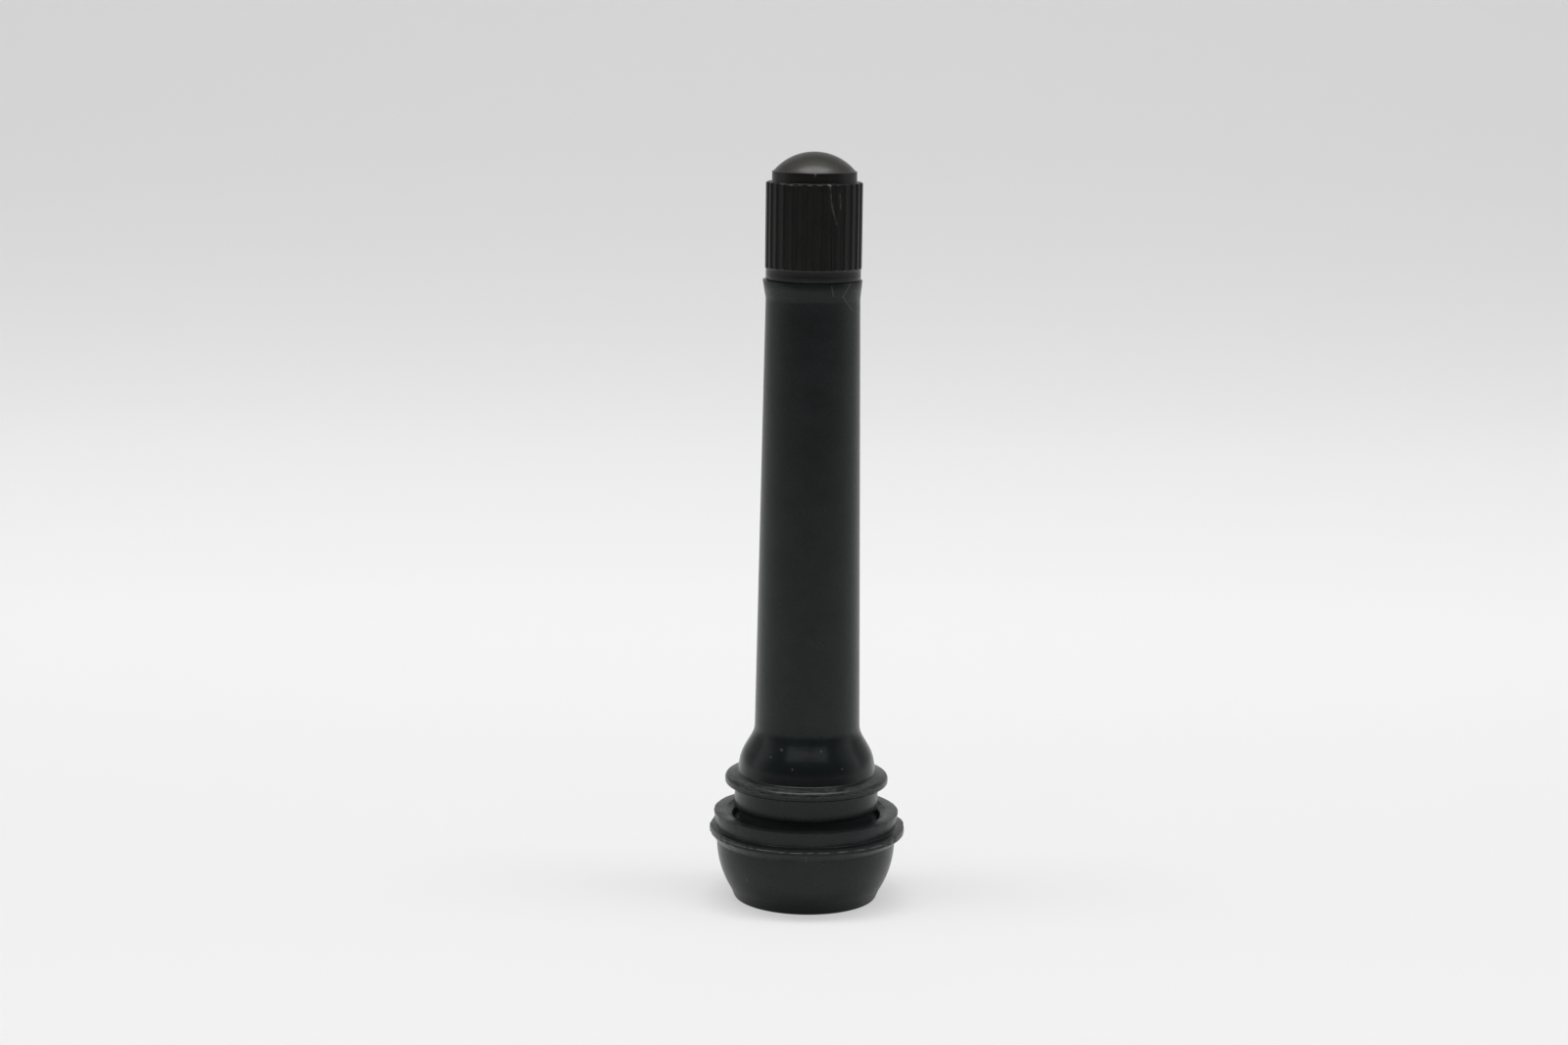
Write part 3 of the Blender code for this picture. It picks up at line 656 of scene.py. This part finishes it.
def makeCapShell(finish):
    sides = cap["flutes"] * cap["sidesPerFlute"]
    neck = capRadius - cap["neckSetback"]
    domeFoot = neck - cap["domeLedge"]
    domeArc = (domeFoot**2 + cap["domeHeight"] ** 2) / (2 * cap["domeHeight"])
    domeTop = neckTop + cap["domeHeight"]
    dome = arcOutline((domeFoot, neckTop), (0.0, domeTop), domeArc, cap["domeSteps"])
    band = capRadius - cap["bandSetback"]
    base = capBase - cap["seating"]
    bandTop = capBase + cap["bandHeight"]
    bore, edge = cap["boreRadius"], cap["edge"]
    threadLow, threadHigh = capBase + cap["threadStart"], mouth - cap["threadStop"]
    ceiling = sealTop + brass["bondGap"]
    outside = roundedOutline([
        (bore, threadLow),
        (bore, capBase + cap["baseLead"]),
        (bore + cap["boreLead"], base, edge),
        (band, base, edge),
        (band, bandTop, edge),
        (capRadius, bandTop + cap["bandSetback"], edge),
        (capRadius, fluteBase),
        (capRadius, fluteBase + cap["ledge"] / 2),
        (capRadius, fluteBase + cap["ledge"]),
        (capRadius, mouth, cap["shoulderRound"]),
        (neck, mouth, cap["neckFillet"]),
        (neck, neckTop, edge),
        (domeFoot, neckTop, edge),
        dome[2],
    ])
    outside = finely(outside, cap["longestStep"]) + dome[3:-1] + [(0.0, capTop)]
    pocket = bore - cap["pocketSetback"]
    inside = [
        (0.0, ceiling + cap["recessHeight"]),
        (cap["recessRadius"], ceiling + cap["recessHeight"]),
        (cap["recessRadius"], ceiling),
        (pocket, ceiling),
        (pocket, mouth),
        (bore, threadHigh),
    ]
    mesh = bmesh.new()
    revolve(mesh, outside, sides, capShape)
    revolve(mesh, inside, sides)
    threadSkin(mesh, sides, brass["threadPitch"], threadLow, threadHigh, capBoreRadius)
    return finishPiece("capShell", mesh, finish, "cap", "cap_shell", cap["sharp"])


# Washer in the cap

washer = {
    "hole": 2.2,
    "edge": 0.08,
    "sides": 96,
}


def makeCapSeal(finish):
    hole, edge = washer["hole"], washer["edge"]
    middle = (sealBase + sealTop) / 2
    corners = [
        (hole, middle),
        (hole, sealBase, edge),
        (sealRadius, sealBase, edge),
        (sealRadius, sealTop, edge),
        (hole, sealTop, edge),
        (hole, middle),
    ]
    mesh = bmesh.new()
    revolve(mesh, roundedOutline(corners), washer["sides"])
    return finishPiece("capSeal", mesh, finish, "cap_washer", "cap_seal")


# Plug of the valve core, with its two ears for the key

plug = {
    "threadFit": 0.15,
    "chamfer": 0.35,
    "length": 3.8,
    "earHeight": 1.9,
    "earWidth": 1.7,
    "earInset": 0.6,
    "earRound": 0.15,
    "edge": 0.05,
    "bridge": 0.6,
    "bridgeLead": 0.1,
    "headRoom": 1.0,
    "guide": 0.6,
    "headPocket": 1.3,
    "pocketTop": 6.4,  # below the mouth
    "skirtRadius": 1.8,
    "skirtHole": 1.06,
    "skirtLip": 0.6,
    "sides": 96,
}
plugTop = earTop - plug["earHeight"]
plugBase = plugTop - plug["length"]


def plugThreadRadius(level, depth):
    crest = brass["chamberRadius"] - plug["threadFit"]
    cutRadius = crest - brass["coreThreadDepth"] * depth
    chamfer = crest - plug["chamfer"] + min(level - plugBase, plugTop - level)
    return min(cutRadius, chamfer)


def millEar(ear, side):  # cuts the ring of the ears flat on one side
    everything = [*ear.verts, *ear.edges, *ear.faces]
    cutter = {"plane_co": (0, side * plug["earWidth"] / 2, 0), "plane_no": (0, side, 0)}
    milled = bmesh.ops.bisect_plane(ear, geom=everything, clear_outer=True, **cutter)
    rims = [part for part in milled["geom_cut"] if isinstance(part, bmesh.types.BMEdge)]
    bmesh.ops.holes_fill(ear, edges=rims)


def makeCorePlug(finish):
    rim = plugThreadRadius(plugTop, 0.0)
    bridgeFoot = plugTop - plug["bridge"]
    pocketTop = mouth - plug["pocketTop"]
    lipTop = plugFoot + plug["skirtLip"]
    mesh = bmesh.new()
    threadSkin(mesh, plug["sides"], brass["corePitch"], plugBase, plugTop, plugThreadRadius)
    below = [
        (rim, plugTop),
        (plug["headRoom"], plugTop),
        (plug["guide"], plugTop - plug["bridgeLead"]),
        (plug["guide"], bridgeFoot),
        (plug["headRoom"], bridgeFoot),
        (plug["headRoom"], pocketTop),
        (plug["headPocket"], pocketTop),
        (plug["headPocket"], lipTop),
        (plug["skirtHole"], lipTop),
        (plug["skirtHole"], plugFoot),
        (plug["skirtRadius"], plugFoot),
        (plug["skirtRadius"], plugBase),
        (rim, plugBase),
    ]
    revolve(mesh, below, plug["sides"])
    ears = bmesh.new()
    earRadius = plugRadius - plug["earInset"]
    root = plugTop - plug["bridgeLead"]
    corners = [
        (plug["headRoom"], root),
        (plug["headRoom"], earTop, plug["edge"]),
        (earRadius, earTop, plug["earRound"]),
        (earRadius, root),
        (plug["headRoom"], root),
    ]
    revolve(ears, roundedOutline(corners), plug["sides"])
    bmesh.ops.remove_doubles(ears, verts=ears.verts, dist=weld)
    for side in (-1, 1):
        millEar(ears, side)
    earMesh = bpy.data.meshes.new("ears")
    ears.to_mesh(earMesh)
    ears.free()
    mesh.from_mesh(earMesh)
    bpy.data.meshes.remove(earMesh)
    return finishPiece("corePlug", mesh, finish, "core_screw", "core_plug")


# Pin of the valve core, headed from one wire

pin = {
    "radius": 0.5,
    "headRadius": 0.8,
    "headLength": 1.1,
    "headRound": 0.3,
    "headTaper": 0.2,
    "fillet": 0.1,
    "seatTop": 9.0,  # below the mouth
    "seatThickness": 0.4,
    "tailTop": 15.75,  # below the mouth
    "tailRadius": 0.85,
    "tailRound": 0.2,
    "sides": 48,
}


def makeCorePin(finish):
    headFoot = pinTop - pin["headLength"]
    seatTop = mouth - pin["seatTop"]
    seatFoot = seatTop - pin["seatThickness"]
    tailTop = mouth - pin["tailTop"]
    corners = [
        (0.0, pinTop),
        (pin["headRadius"], pinTop, pin["headRound"]),
        (pin["headRadius"], headFoot, pin["fillet"]),
        (pin["radius"], headFoot - pin["headTaper"], pin["fillet"]),
        (pin["radius"], seatTop),
        (springSeatRadius, seatTop),
        (springSeatRadius, seatFoot),
        (pin["radius"], seatFoot),
        (pin["radius"], tailTop),
        (pin["tailRadius"], tailTop),
        (pin["tailRadius"], pinEnd, pin["tailRound"]),
        (0.0, pinEnd),
    ]
    mesh = bmesh.new()
    revolve(mesh, roundedOutline(corners), pin["sides"])
    return finishPiece("corePin", mesh, finish, "pin", "core_pin")


# Spring of the valve core

spring = {
    "wire": 0.25,
    "turns": 6,
    "closedPitch": 0.275,
    "stepsPerTurn": 36,
    "wireSides": 10,
}


def springLevel(share, low, high):  # the first and last turns lie closed
    closed = 1 / spring["turns"]
    seat = spring["closedPitch"]
    if share < closed:
        return low + seat * share / closed
    if share > 1 - closed:
        return high - seat * (1 - share) / closed
    return low + seat + (high - low - 2 * seat) * (share - closed) / (1 - 2 * closed)


def makeCoreSpring(finish):
    wire = spring["wire"] / 2
    mean = springRadius - wire
    sides = spring["wireSides"]
    steps = spring["turns"] * spring["stepsPerTurn"]
    mesh = bmesh.new()
    rings = []
    for step in range(steps + 1):
        angle = math.tau * step / spring["stepsPerTurn"]
        level = springLevel(step / steps, springBase + wire, springTop - wire)
        ring = []
        for side in range(sides):
            lean = math.tau * side / sides
            spot = around(mean + wire * math.cos(lean), level + wire * math.sin(lean), angle)
            ring.append(mesh.verts.new(spot))
        rings.append(ring)
    skinTube(mesh, rings, sides)
    mesh.faces.new(rings[0])
    mesh.faces.new(rings[-1])
    coil = finishPiece("coreSpring", mesh, finish, "core", "core_spring")
    press = next(joint for joint in frame["joints"] if joint["name"] == "pin_press")
    pressed = 1 - press["range_m"][1] / mm / (springTop - springBase)
    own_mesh(coil)
    return coil


# Finishes


def makeMouldedRubber():
    look = {
        "dark": (0.0034, 0.0058, 0.006),
        "pale": (0.006, 0.0092, 0.0094),
        # the pale colour of dust, also used for the painted highlights and glints below
        "dust": (0.09, 0.092, 0.09),
        "paintedGrooveLight": (0.04, 0.043, 0.045),
        "roughness": 0.25,
        "bulbRoughness": 0.19,
        "grooveRoughness": 0.6,
        "specular": 0.29,
        "marks": [  # where each starts and ends on the front, and its width
            ((1.8, 63.9), (2.0, 62.9), 0.09),
            ((3.7, 64.1), (2.95, 62.8), 0.09),
            ((2.95, 62.8), (4.0, 61.3), 0.08),
            ((-0.05, 6.85), (0.03, 6.3), 0.06),
        ],
        # painted glints: the big dot and the first four dots lie on the bulb and stand in for
        # reflections of small lights; the last dot lies low on the bowl
        "bigDot": (-2.6, 16.8),
        "dots": [(1.4, 16.8), (-3.7, 16.0), (-1.5, 15.1), (3.55, 15.0), (-6.0, 3.4)],
    }
    s = Finish("mouldedRubber", "moulded_rubber")
    clouds = s.grain(0.35, 3.0)
    fine = s.grain(9.0, 3.0, 0.6)

    # Where the bulb, the ring's top, the land, the groove and the flash line are
    bulb = s.band(s.level, rubber["ringTop"] + 0.6, rubber["sleeveBase"] - 0.5, 0.3)
    # Painted highlight, partly dust: the ring's top is made paler in streaks, standing in for the
    # broad highlight on its shoulder
    ringTop = s.band(s.level, rubber["ringTop"] - 0.4, rubber["ringTop"] + 0.2, 0.15)
    ringTop = ringTop * s.mask(s.radius, 7.3, 7.6)
    ringTop = ringTop * s.mask(s.grain(1.6, 3.0, 0.5, (1, 1, 6)), 0.3, 0.7)
    land = s.band(s.level, rubber["landHeight"] - 0.12, rubber["landHeight"] + 0.12, 0.03)
    land = land * s.band(s.radius, 8.1, 9.55, 0.1)
    groove = s.mask(s.radius, 7.75, 7.6) * s.band(s.level, 7.0, rubber["barrelBase"] - 0.1, 0.1)
    flash = rubber["flashHeight"]
    # Pale trimmed flash round the lip's edge, which also serves as a painted highlight for the thin
    # bright line there
    lipEdge = s.band(s.level, rubber["flashLevel"] - flash, rubber["flashLevel"] + flash, flash)
    lipEdge = lipEdge * s.mask(s.radius, 9.5, 9.8) * s.mask(s.grain(1.4, 2.0), 0.35, 0.55)

    marks = s.scratches(look["marks"])
    # painted glints on the bulb, and one spot low on the bowl
    spots = sum((s.dot(place, 0.15) for place in look["dots"]), s.dot(look["bigDot"], 0.2))
    dust = s.specks(0.55, 0.035, 0.86) * 0.5 + s.specks(0.9, 0.05, 0.93) * 0.3
    # Real wear, scratches and dust, together with painted highlights on the ring's top and the
    # lip's edge and painted glints on the bulb
    wearAndSheen = land * 0.06 + lipEdge * 0.9 + marks * 0.4 + spots * 0.45 + ringTop * 0.42 + dust
    colour = s.blend(s.mask(clouds, 0.3, 0.75), look["dark"], look["pale"])
    colour = s.blend(wearAndSheen, colour, look["dust"])
    # Painted light: the groove and the neck under the barrel lie in shade and get a paler colour
    # than the rubber, standing in for the light that reaches them
    colour = s.blend(groove, colour, look["paintedGrooveLight"])
    roughness = look["roughness"] + (look["bulbRoughness"] - look["roughness"]) * bulb
    roughness = roughness - land * 0.04 + fine * 0.06
    roughness = roughness + groove * (look["grooveRoughness"] - look["roughness"])
    lines = s.grain(3.0, 2.0, 0.5, (1, 1, 12)) * land
    pebble = s.bump(fine + lines * 3 + wearAndSheen * 0.6, 0.012, 0.5)
    return s.finish(s.skin({
        "Base Color": colour,
        "Roughness": roughness,
        "Specular IOR Level": look["specular"],
        "Normal": s.bump(s.grain(0.55, 1.0), 0.05, 0.35, pebble),
    }))


def makeCapPlastic():
    look = {
        "dark": (0.0042, 0.0046, 0.004),
        "pale": (0.0068, 0.0071, 0.0062),
        # pale colour of scuffs, also used for the painted highlights
        "scuffAndSheen": (0.12, 0.125, 0.11),
        "film": (0.052, 0.05, 0.042),  # dust and grease on the dome
        "roughness": 0.3,
        "specular": 0.25,
        "marks": [  # where each starts and ends on the front, and its width
            ((1.5, mouth - 0.1), (1.75, mouth - 2.2), 0.13),
            ((1.75, mouth - 2.2), (2.2, mouth - 3.9), 0.13),
            ((2.5, mouth - 0.9), (2.6, mouth - 2.4), 0.1),
        ],
        "chip": ((1.35, mouth), (1.55, mouth - 0.1), 0.13),
        # painted highlight: a pale line along the shoulder's front edge, standing in for the thin
        # highlight there
        "shoulder": ((-3.4, mouth - 0.02), (-1.9, mouth - 0.14), 0.07),
        # painted highlight: a pale tick on the nub below the dome's edge, standing in for the light
        # it catches
        "nub": ((0.05, neckTop), (0.05, neckTop - 0.2), 0.13),
    }
    s = Finish("capPlastic", "cap_plastic")
    spark = s.grain(11.0, 2.0, 0.55)
    clouds = s.grain(0.5, 2.0)
    band = s.mask(s.level, fluteBase - 0.05, fluteBase - 0.15) * s.mask(s.radius, 4.3, 4.6)
    # Painted highlight: the ledge at the flutes' foot is made paler, standing in for the bright
    # arcs along it
    ledge = s.band(s.level, fluteBase - 0.03, fluteBase + 0.05, 0.03)
    ledge = ledge * s.mask(s.radius, 4.6, 4.66)
    dome = s.mask(s.level, neckTop - 0.05, neckTop + 0.05)
    marks = s.scratches(look["marks"]) * s.mask(s.grain(2.2, 3.0), 0.25, 0.6)
    chip, shoulder, nub = (s.scratch(*look[name]) for name in ("chip", "shoulder", "nub"))
    # Real scratches and the chip, together with painted highlights on the ledge, the shoulder and
    # the nub
    scuffsAndSheen = marks * 0.4 + chip * 0.6 + ledge * 0.3 + shoulder * 0.4 + nub * 0.5
    colour = s.blend(s.mask(clouds, 0.3, 0.7), look["dark"], look["pale"])
    colour = s.blend(dome * (0.4 + clouds * 0.3), colour, look["film"])
    colour = s.blend(scuffsAndSheen, colour, look["scuffAndSheen"])
    return s.finish(s.skin({
        "Base Color": colour,
        "Roughness": look["roughness"] + spark * 0.08 - band * 0.08 - dome * 0.06,
        "Specular IOR Level": look["specular"],
        "Normal": s.bump(spark * (1 - dome * 0.85) + scuffsAndSheen * 0.5, 0.01, 0.45),
    }))


def makeTurnedBrass():
    look = {
        "bright": (0.62, 0.44, 0.18),
        "tarnished": (0.42, 0.27, 0.1),
        "roughness": 0.2,
    }
    s = Finish("turnedBrass", "turned_brass")
    turning = s.grain(2.0, 2.0, 0.6, (0.15, 0.15, 14))
    tarnish = s.mask(s.grain(0.8, 4.0, 0.6), 0.45, 0.75)
    return s.finish(s.skin({
        "Base Color": s.blend(tarnish, look["bright"], look["tarnished"]),
        "Metallic": 1.0,
        "Roughness": look["roughness"] + turning * 0.14 + tarnish * 0.14,
        "Normal": s.bump(turning, 0.006, 0.6),
    }))


def makeSpringSteel():
    look = {
        "dark": (0.46, 0.46, 0.47),
        "bright": (0.6, 0.59, 0.57),
        "roughness": 0.2,
    }
    s = Finish("springSteel", "spring_steel")
    drawn = s.grain(6.0, 2.0, 0.6, (1, 1, 3))
    return s.finish(s.skin({
        "Base Color": s.blend(drawn, look["dark"], look["bright"]),
        "Metallic": 1.0,
        "Roughness": look["roughness"] + drawn * 0.15,
        "Normal": s.bump(drawn, 0.003, 0.4),
    }))


def makeSealRubber():
    look = {
        "dark": (0.012, 0.012, 0.012),
        "bloom": (0.028, 0.028, 0.027),
        "roughness": 0.5,
    }
    s = Finish("sealRubber", "seal_rubber")
    matt = s.grain(7.0, 3.0, 0.6)
    bloom = s.mask(s.grain(0.9, 3.0), 0.5, 0.8)
    return s.finish(s.skin({
        "Base Color": s.blend(bloom, look["dark"], look["bloom"]),
        "Roughness": look["roughness"] + matt * 0.15,
        "Normal": s.bump(matt, 0.01, 0.5),
    }))


def makeGasketRubber():
    look = {
        "dark": (0.3, 0.014, 0.01),
        "pale": (0.42, 0.03, 0.02),
        "roughness": 0.4,
    }
    s = Finish("gasketRubber", "gasket_rubber")
    matt = s.grain(5.0, 3.0, 0.6)
    return s.finish(s.skin({
        "Base Color": s.blend(matt, look["dark"], look["pale"]),
        "Roughness": look["roughness"] + matt * 0.15,
        "Normal": s.bump(matt, 0.01, 0.4),
    }))


# Stage, lamps and camera

paper = {
    # The paper's colour is painted light and shade: paler behind the valve, darker up the backdrop,
    # and much darker in front of the valve, which the valve reflects; these stand in for more and
    # less light falling there
    "near": (0.88, 0.88, 0.88),
    "middle": (0.955, 0.955, 0.955),
    "middleFade": (0, 160),  # where the paper turns from near to middle, behind the valve
    "far": (0.82, 0.82, 0.825),
    "farFade": (300, 520),
    "front": (0.3, 0.3, 0.3),
    "frontFade": (-170, -560),
    "shown": 0.55,  # how much of its colour shows by itself, which keeps the shadow soft
    "deeper": 0.3,  # the same, taken off again in reflections
    "roughness": 0.85,
    "specular": 0.2,
    "flatMiddle": 200,
    "flatEnd": 330,
    "bend": 320,
    "bendSteps": 32,
    "height": 1500,
    "reach": 2200,
}


def makePaper():
    s = Finish("paper")
    fibre = s.grain(1.5, 3.0, 0.6)
    # painted light and shade across the paper, from near to middle, far and front
    colour = s.blend(s.mask(s.depth, *paper["middleFade"]), paper["near"], paper["middle"])
    colour = s.blend(s.mask(s.depth, *paper["farFade"]), colour, paper["far"])
    colour = s.blend(s.mask(s.depth, *paper["frontFade"]), colour, paper["front"])
    skin = s.skin({
        "Base Color": colour,
        "Roughness": paper["roughness"],
        "Specular IOR Level": paper["specular"],
        "Normal": s.bump(fibre, 0.01, 0.2),
    })
    glow = s.node("ShaderNodeEmission", {}, {"Color": colour, "Strength": 1.0})
    glossy = s.node("ShaderNodeLightPath", out="Is Glossy Ray")
    share = s.seen() * (paper["shown"] - paper["deeper"] * glossy)
    return s.finish(s.node("ShaderNodeMixShader", {}, {0: share, 1: skin, 2: glow}))


def makeStage(finish):  # paper that lies flat and bends up behind the valve
    middle = paper["flatMiddle"]
    corners = [(-paper["reach"], 0.0), (-middle, 0.0), (middle, 0.0), (paper["flatEnd"], 0.0)]
    for step in range(1, paper["bendSteps"] + 1):
        lean = math.radians(90) * step / paper["bendSteps"]
        across = paper["flatEnd"] + paper["bend"] * math.sin(lean)
        corners.append((across, paper["bend"] * (1 - math.cos(lean))))
    corners.append((paper["flatEnd"] + paper["bend"], paper["height"]))
    mesh = bmesh.new()
    left = [mesh.verts.new((-paper["reach"], y, z)) for y, z in corners]
    right = [mesh.verts.new((paper["reach"], y, z)) for y, z in corners]
    for place in range(len(corners) - 1):
        mesh.faces.new((left[place], right[place], right[place + 1], left[place + 1]))
    addObject("paperSweep", mesh, finish)


lamps = {
    "overhead": {"place": (0, -40, 600), "aim": (0, -10, 0), "size": (620, 140), "power": 2.5},
    "fill": {"place": (0, -405, 490), "aim": (0, 0, 30), "size": (760, 60), "power": 0.27},
}


def makeLamps():
    for name, facts in lamps.items():
        light = bpy.data.lights.new(name, "AREA")
        light.shape = "RECTANGLE"
        light.size, light.size_y = (side * mm for side in facts["size"])
        light.energy = facts["power"]
        lamp = bpy.data.objects.new(name, light)
        lamp.location = Vector(facts["place"]) * mm
        way = Vector(facts["aim"]) - Vector(facts["place"])
        lamp.rotation_euler = way.to_track_quat("-Z", "Y").to_euler()
        bpy.context.scene.collection.objects.link(lamp)


room = {
    "front": 0.16,  # strength of the light from the camera's side
    "back": 0.95,
    "turn": (-0.45, 0.3),  # where it turns from one to the other
}


def makeWorld():
    world = bpy.data.worlds.new("studio")
    bpy.context.scene.world = world
    s = Shader(world)
    way = s.node("ShaderNodeTexCoord", out="Generated")
    towardsBack = s.node("ShaderNodeSeparateXYZ", {}, {0: way}, "Y")
    gain = room["back"] - room["front"]
    strength = room["front"] + gain * s.mask(towardsBack, *room["turn"])
    sockets = {"Color": (1.0, 1.0, 1.0, 1.0), "Strength": strength}
    light = s.node("ShaderNodeBackground", {}, sockets)
    s.node("ShaderNodeOutputWorld", {}, {"Surface": light})


viewpoint = {
    "lens": 72.0,  # on a sensor 36 wide
    "pitch": 10.0,
    "distance": 319.7,
    "aim": (-2.64, 0.0, 39.3),
    "roll": 0.7,
    "nearest": 10.0,
    "farthest": 20000.0,
}


def makeCamera():
    data = bpy.data.cameras.new("camera")
    data.lens = viewpoint["lens"]
    data.clip_start = viewpoint["nearest"] * mm
    data.clip_end = viewpoint["farthest"] * mm
    camera = bpy.data.objects.new("camera", data)
    pitch = math.radians(viewpoint["pitch"])
    back = Vector((0.0, -math.cos(pitch), math.sin(pitch)))
    camera.location = (Vector(viewpoint["aim"]) + back * viewpoint["distance"]) * mm
    facing = (-back).to_track_quat("-Z", "Y").to_matrix().to_4x4()
    roll = Matrix.Rotation(math.radians(viewpoint["roll"]), 4, "Z")
    camera.rotation_euler = (facing @ roll).to_euler()
    bpy.context.scene.collection.objects.link(camera)
    bpy.context.scene.camera = camera


# Everything together

mouldedRubber = makeMouldedRubber()
capPlastic = makeCapPlastic()
turnedBrass = makeTurnedBrass()
springSteel = makeSpringSteel()
sealRubber = makeSealRubber()
gasketRubber = makeGasketRubber()
print("finishes made")

makeRubberBody(mouldedRubber)
makeBrassStem(turnedBrass)
makeCapShell(capPlastic)
makeCapSeal(sealRubber)
makeCorePlug(turnedBrass)
makeCorePin(turnedBrass)
makeCoreSpring(springSteel)

keptNodes = {
    "core_barrel": turnedBrass,
    "barrel_gasket": gasketRubber,
    "plunger_cup": turnedBrass,
    "plunger_seal": sealRubber,
}
for name, finish in keptNodes.items():
    materials = frame["nodes"][name].data.materials
    materials.clear()
    materials.append(finish["material"])
print("CAD nodes dressed:", ", ".join(keptNodes))

makeStage(makePaper())
makeLamps()
makeWorld()
makeCamera()
bpy.context.scene.view_settings.view_transform = "Standard"
print("stage, lamps and camera set")
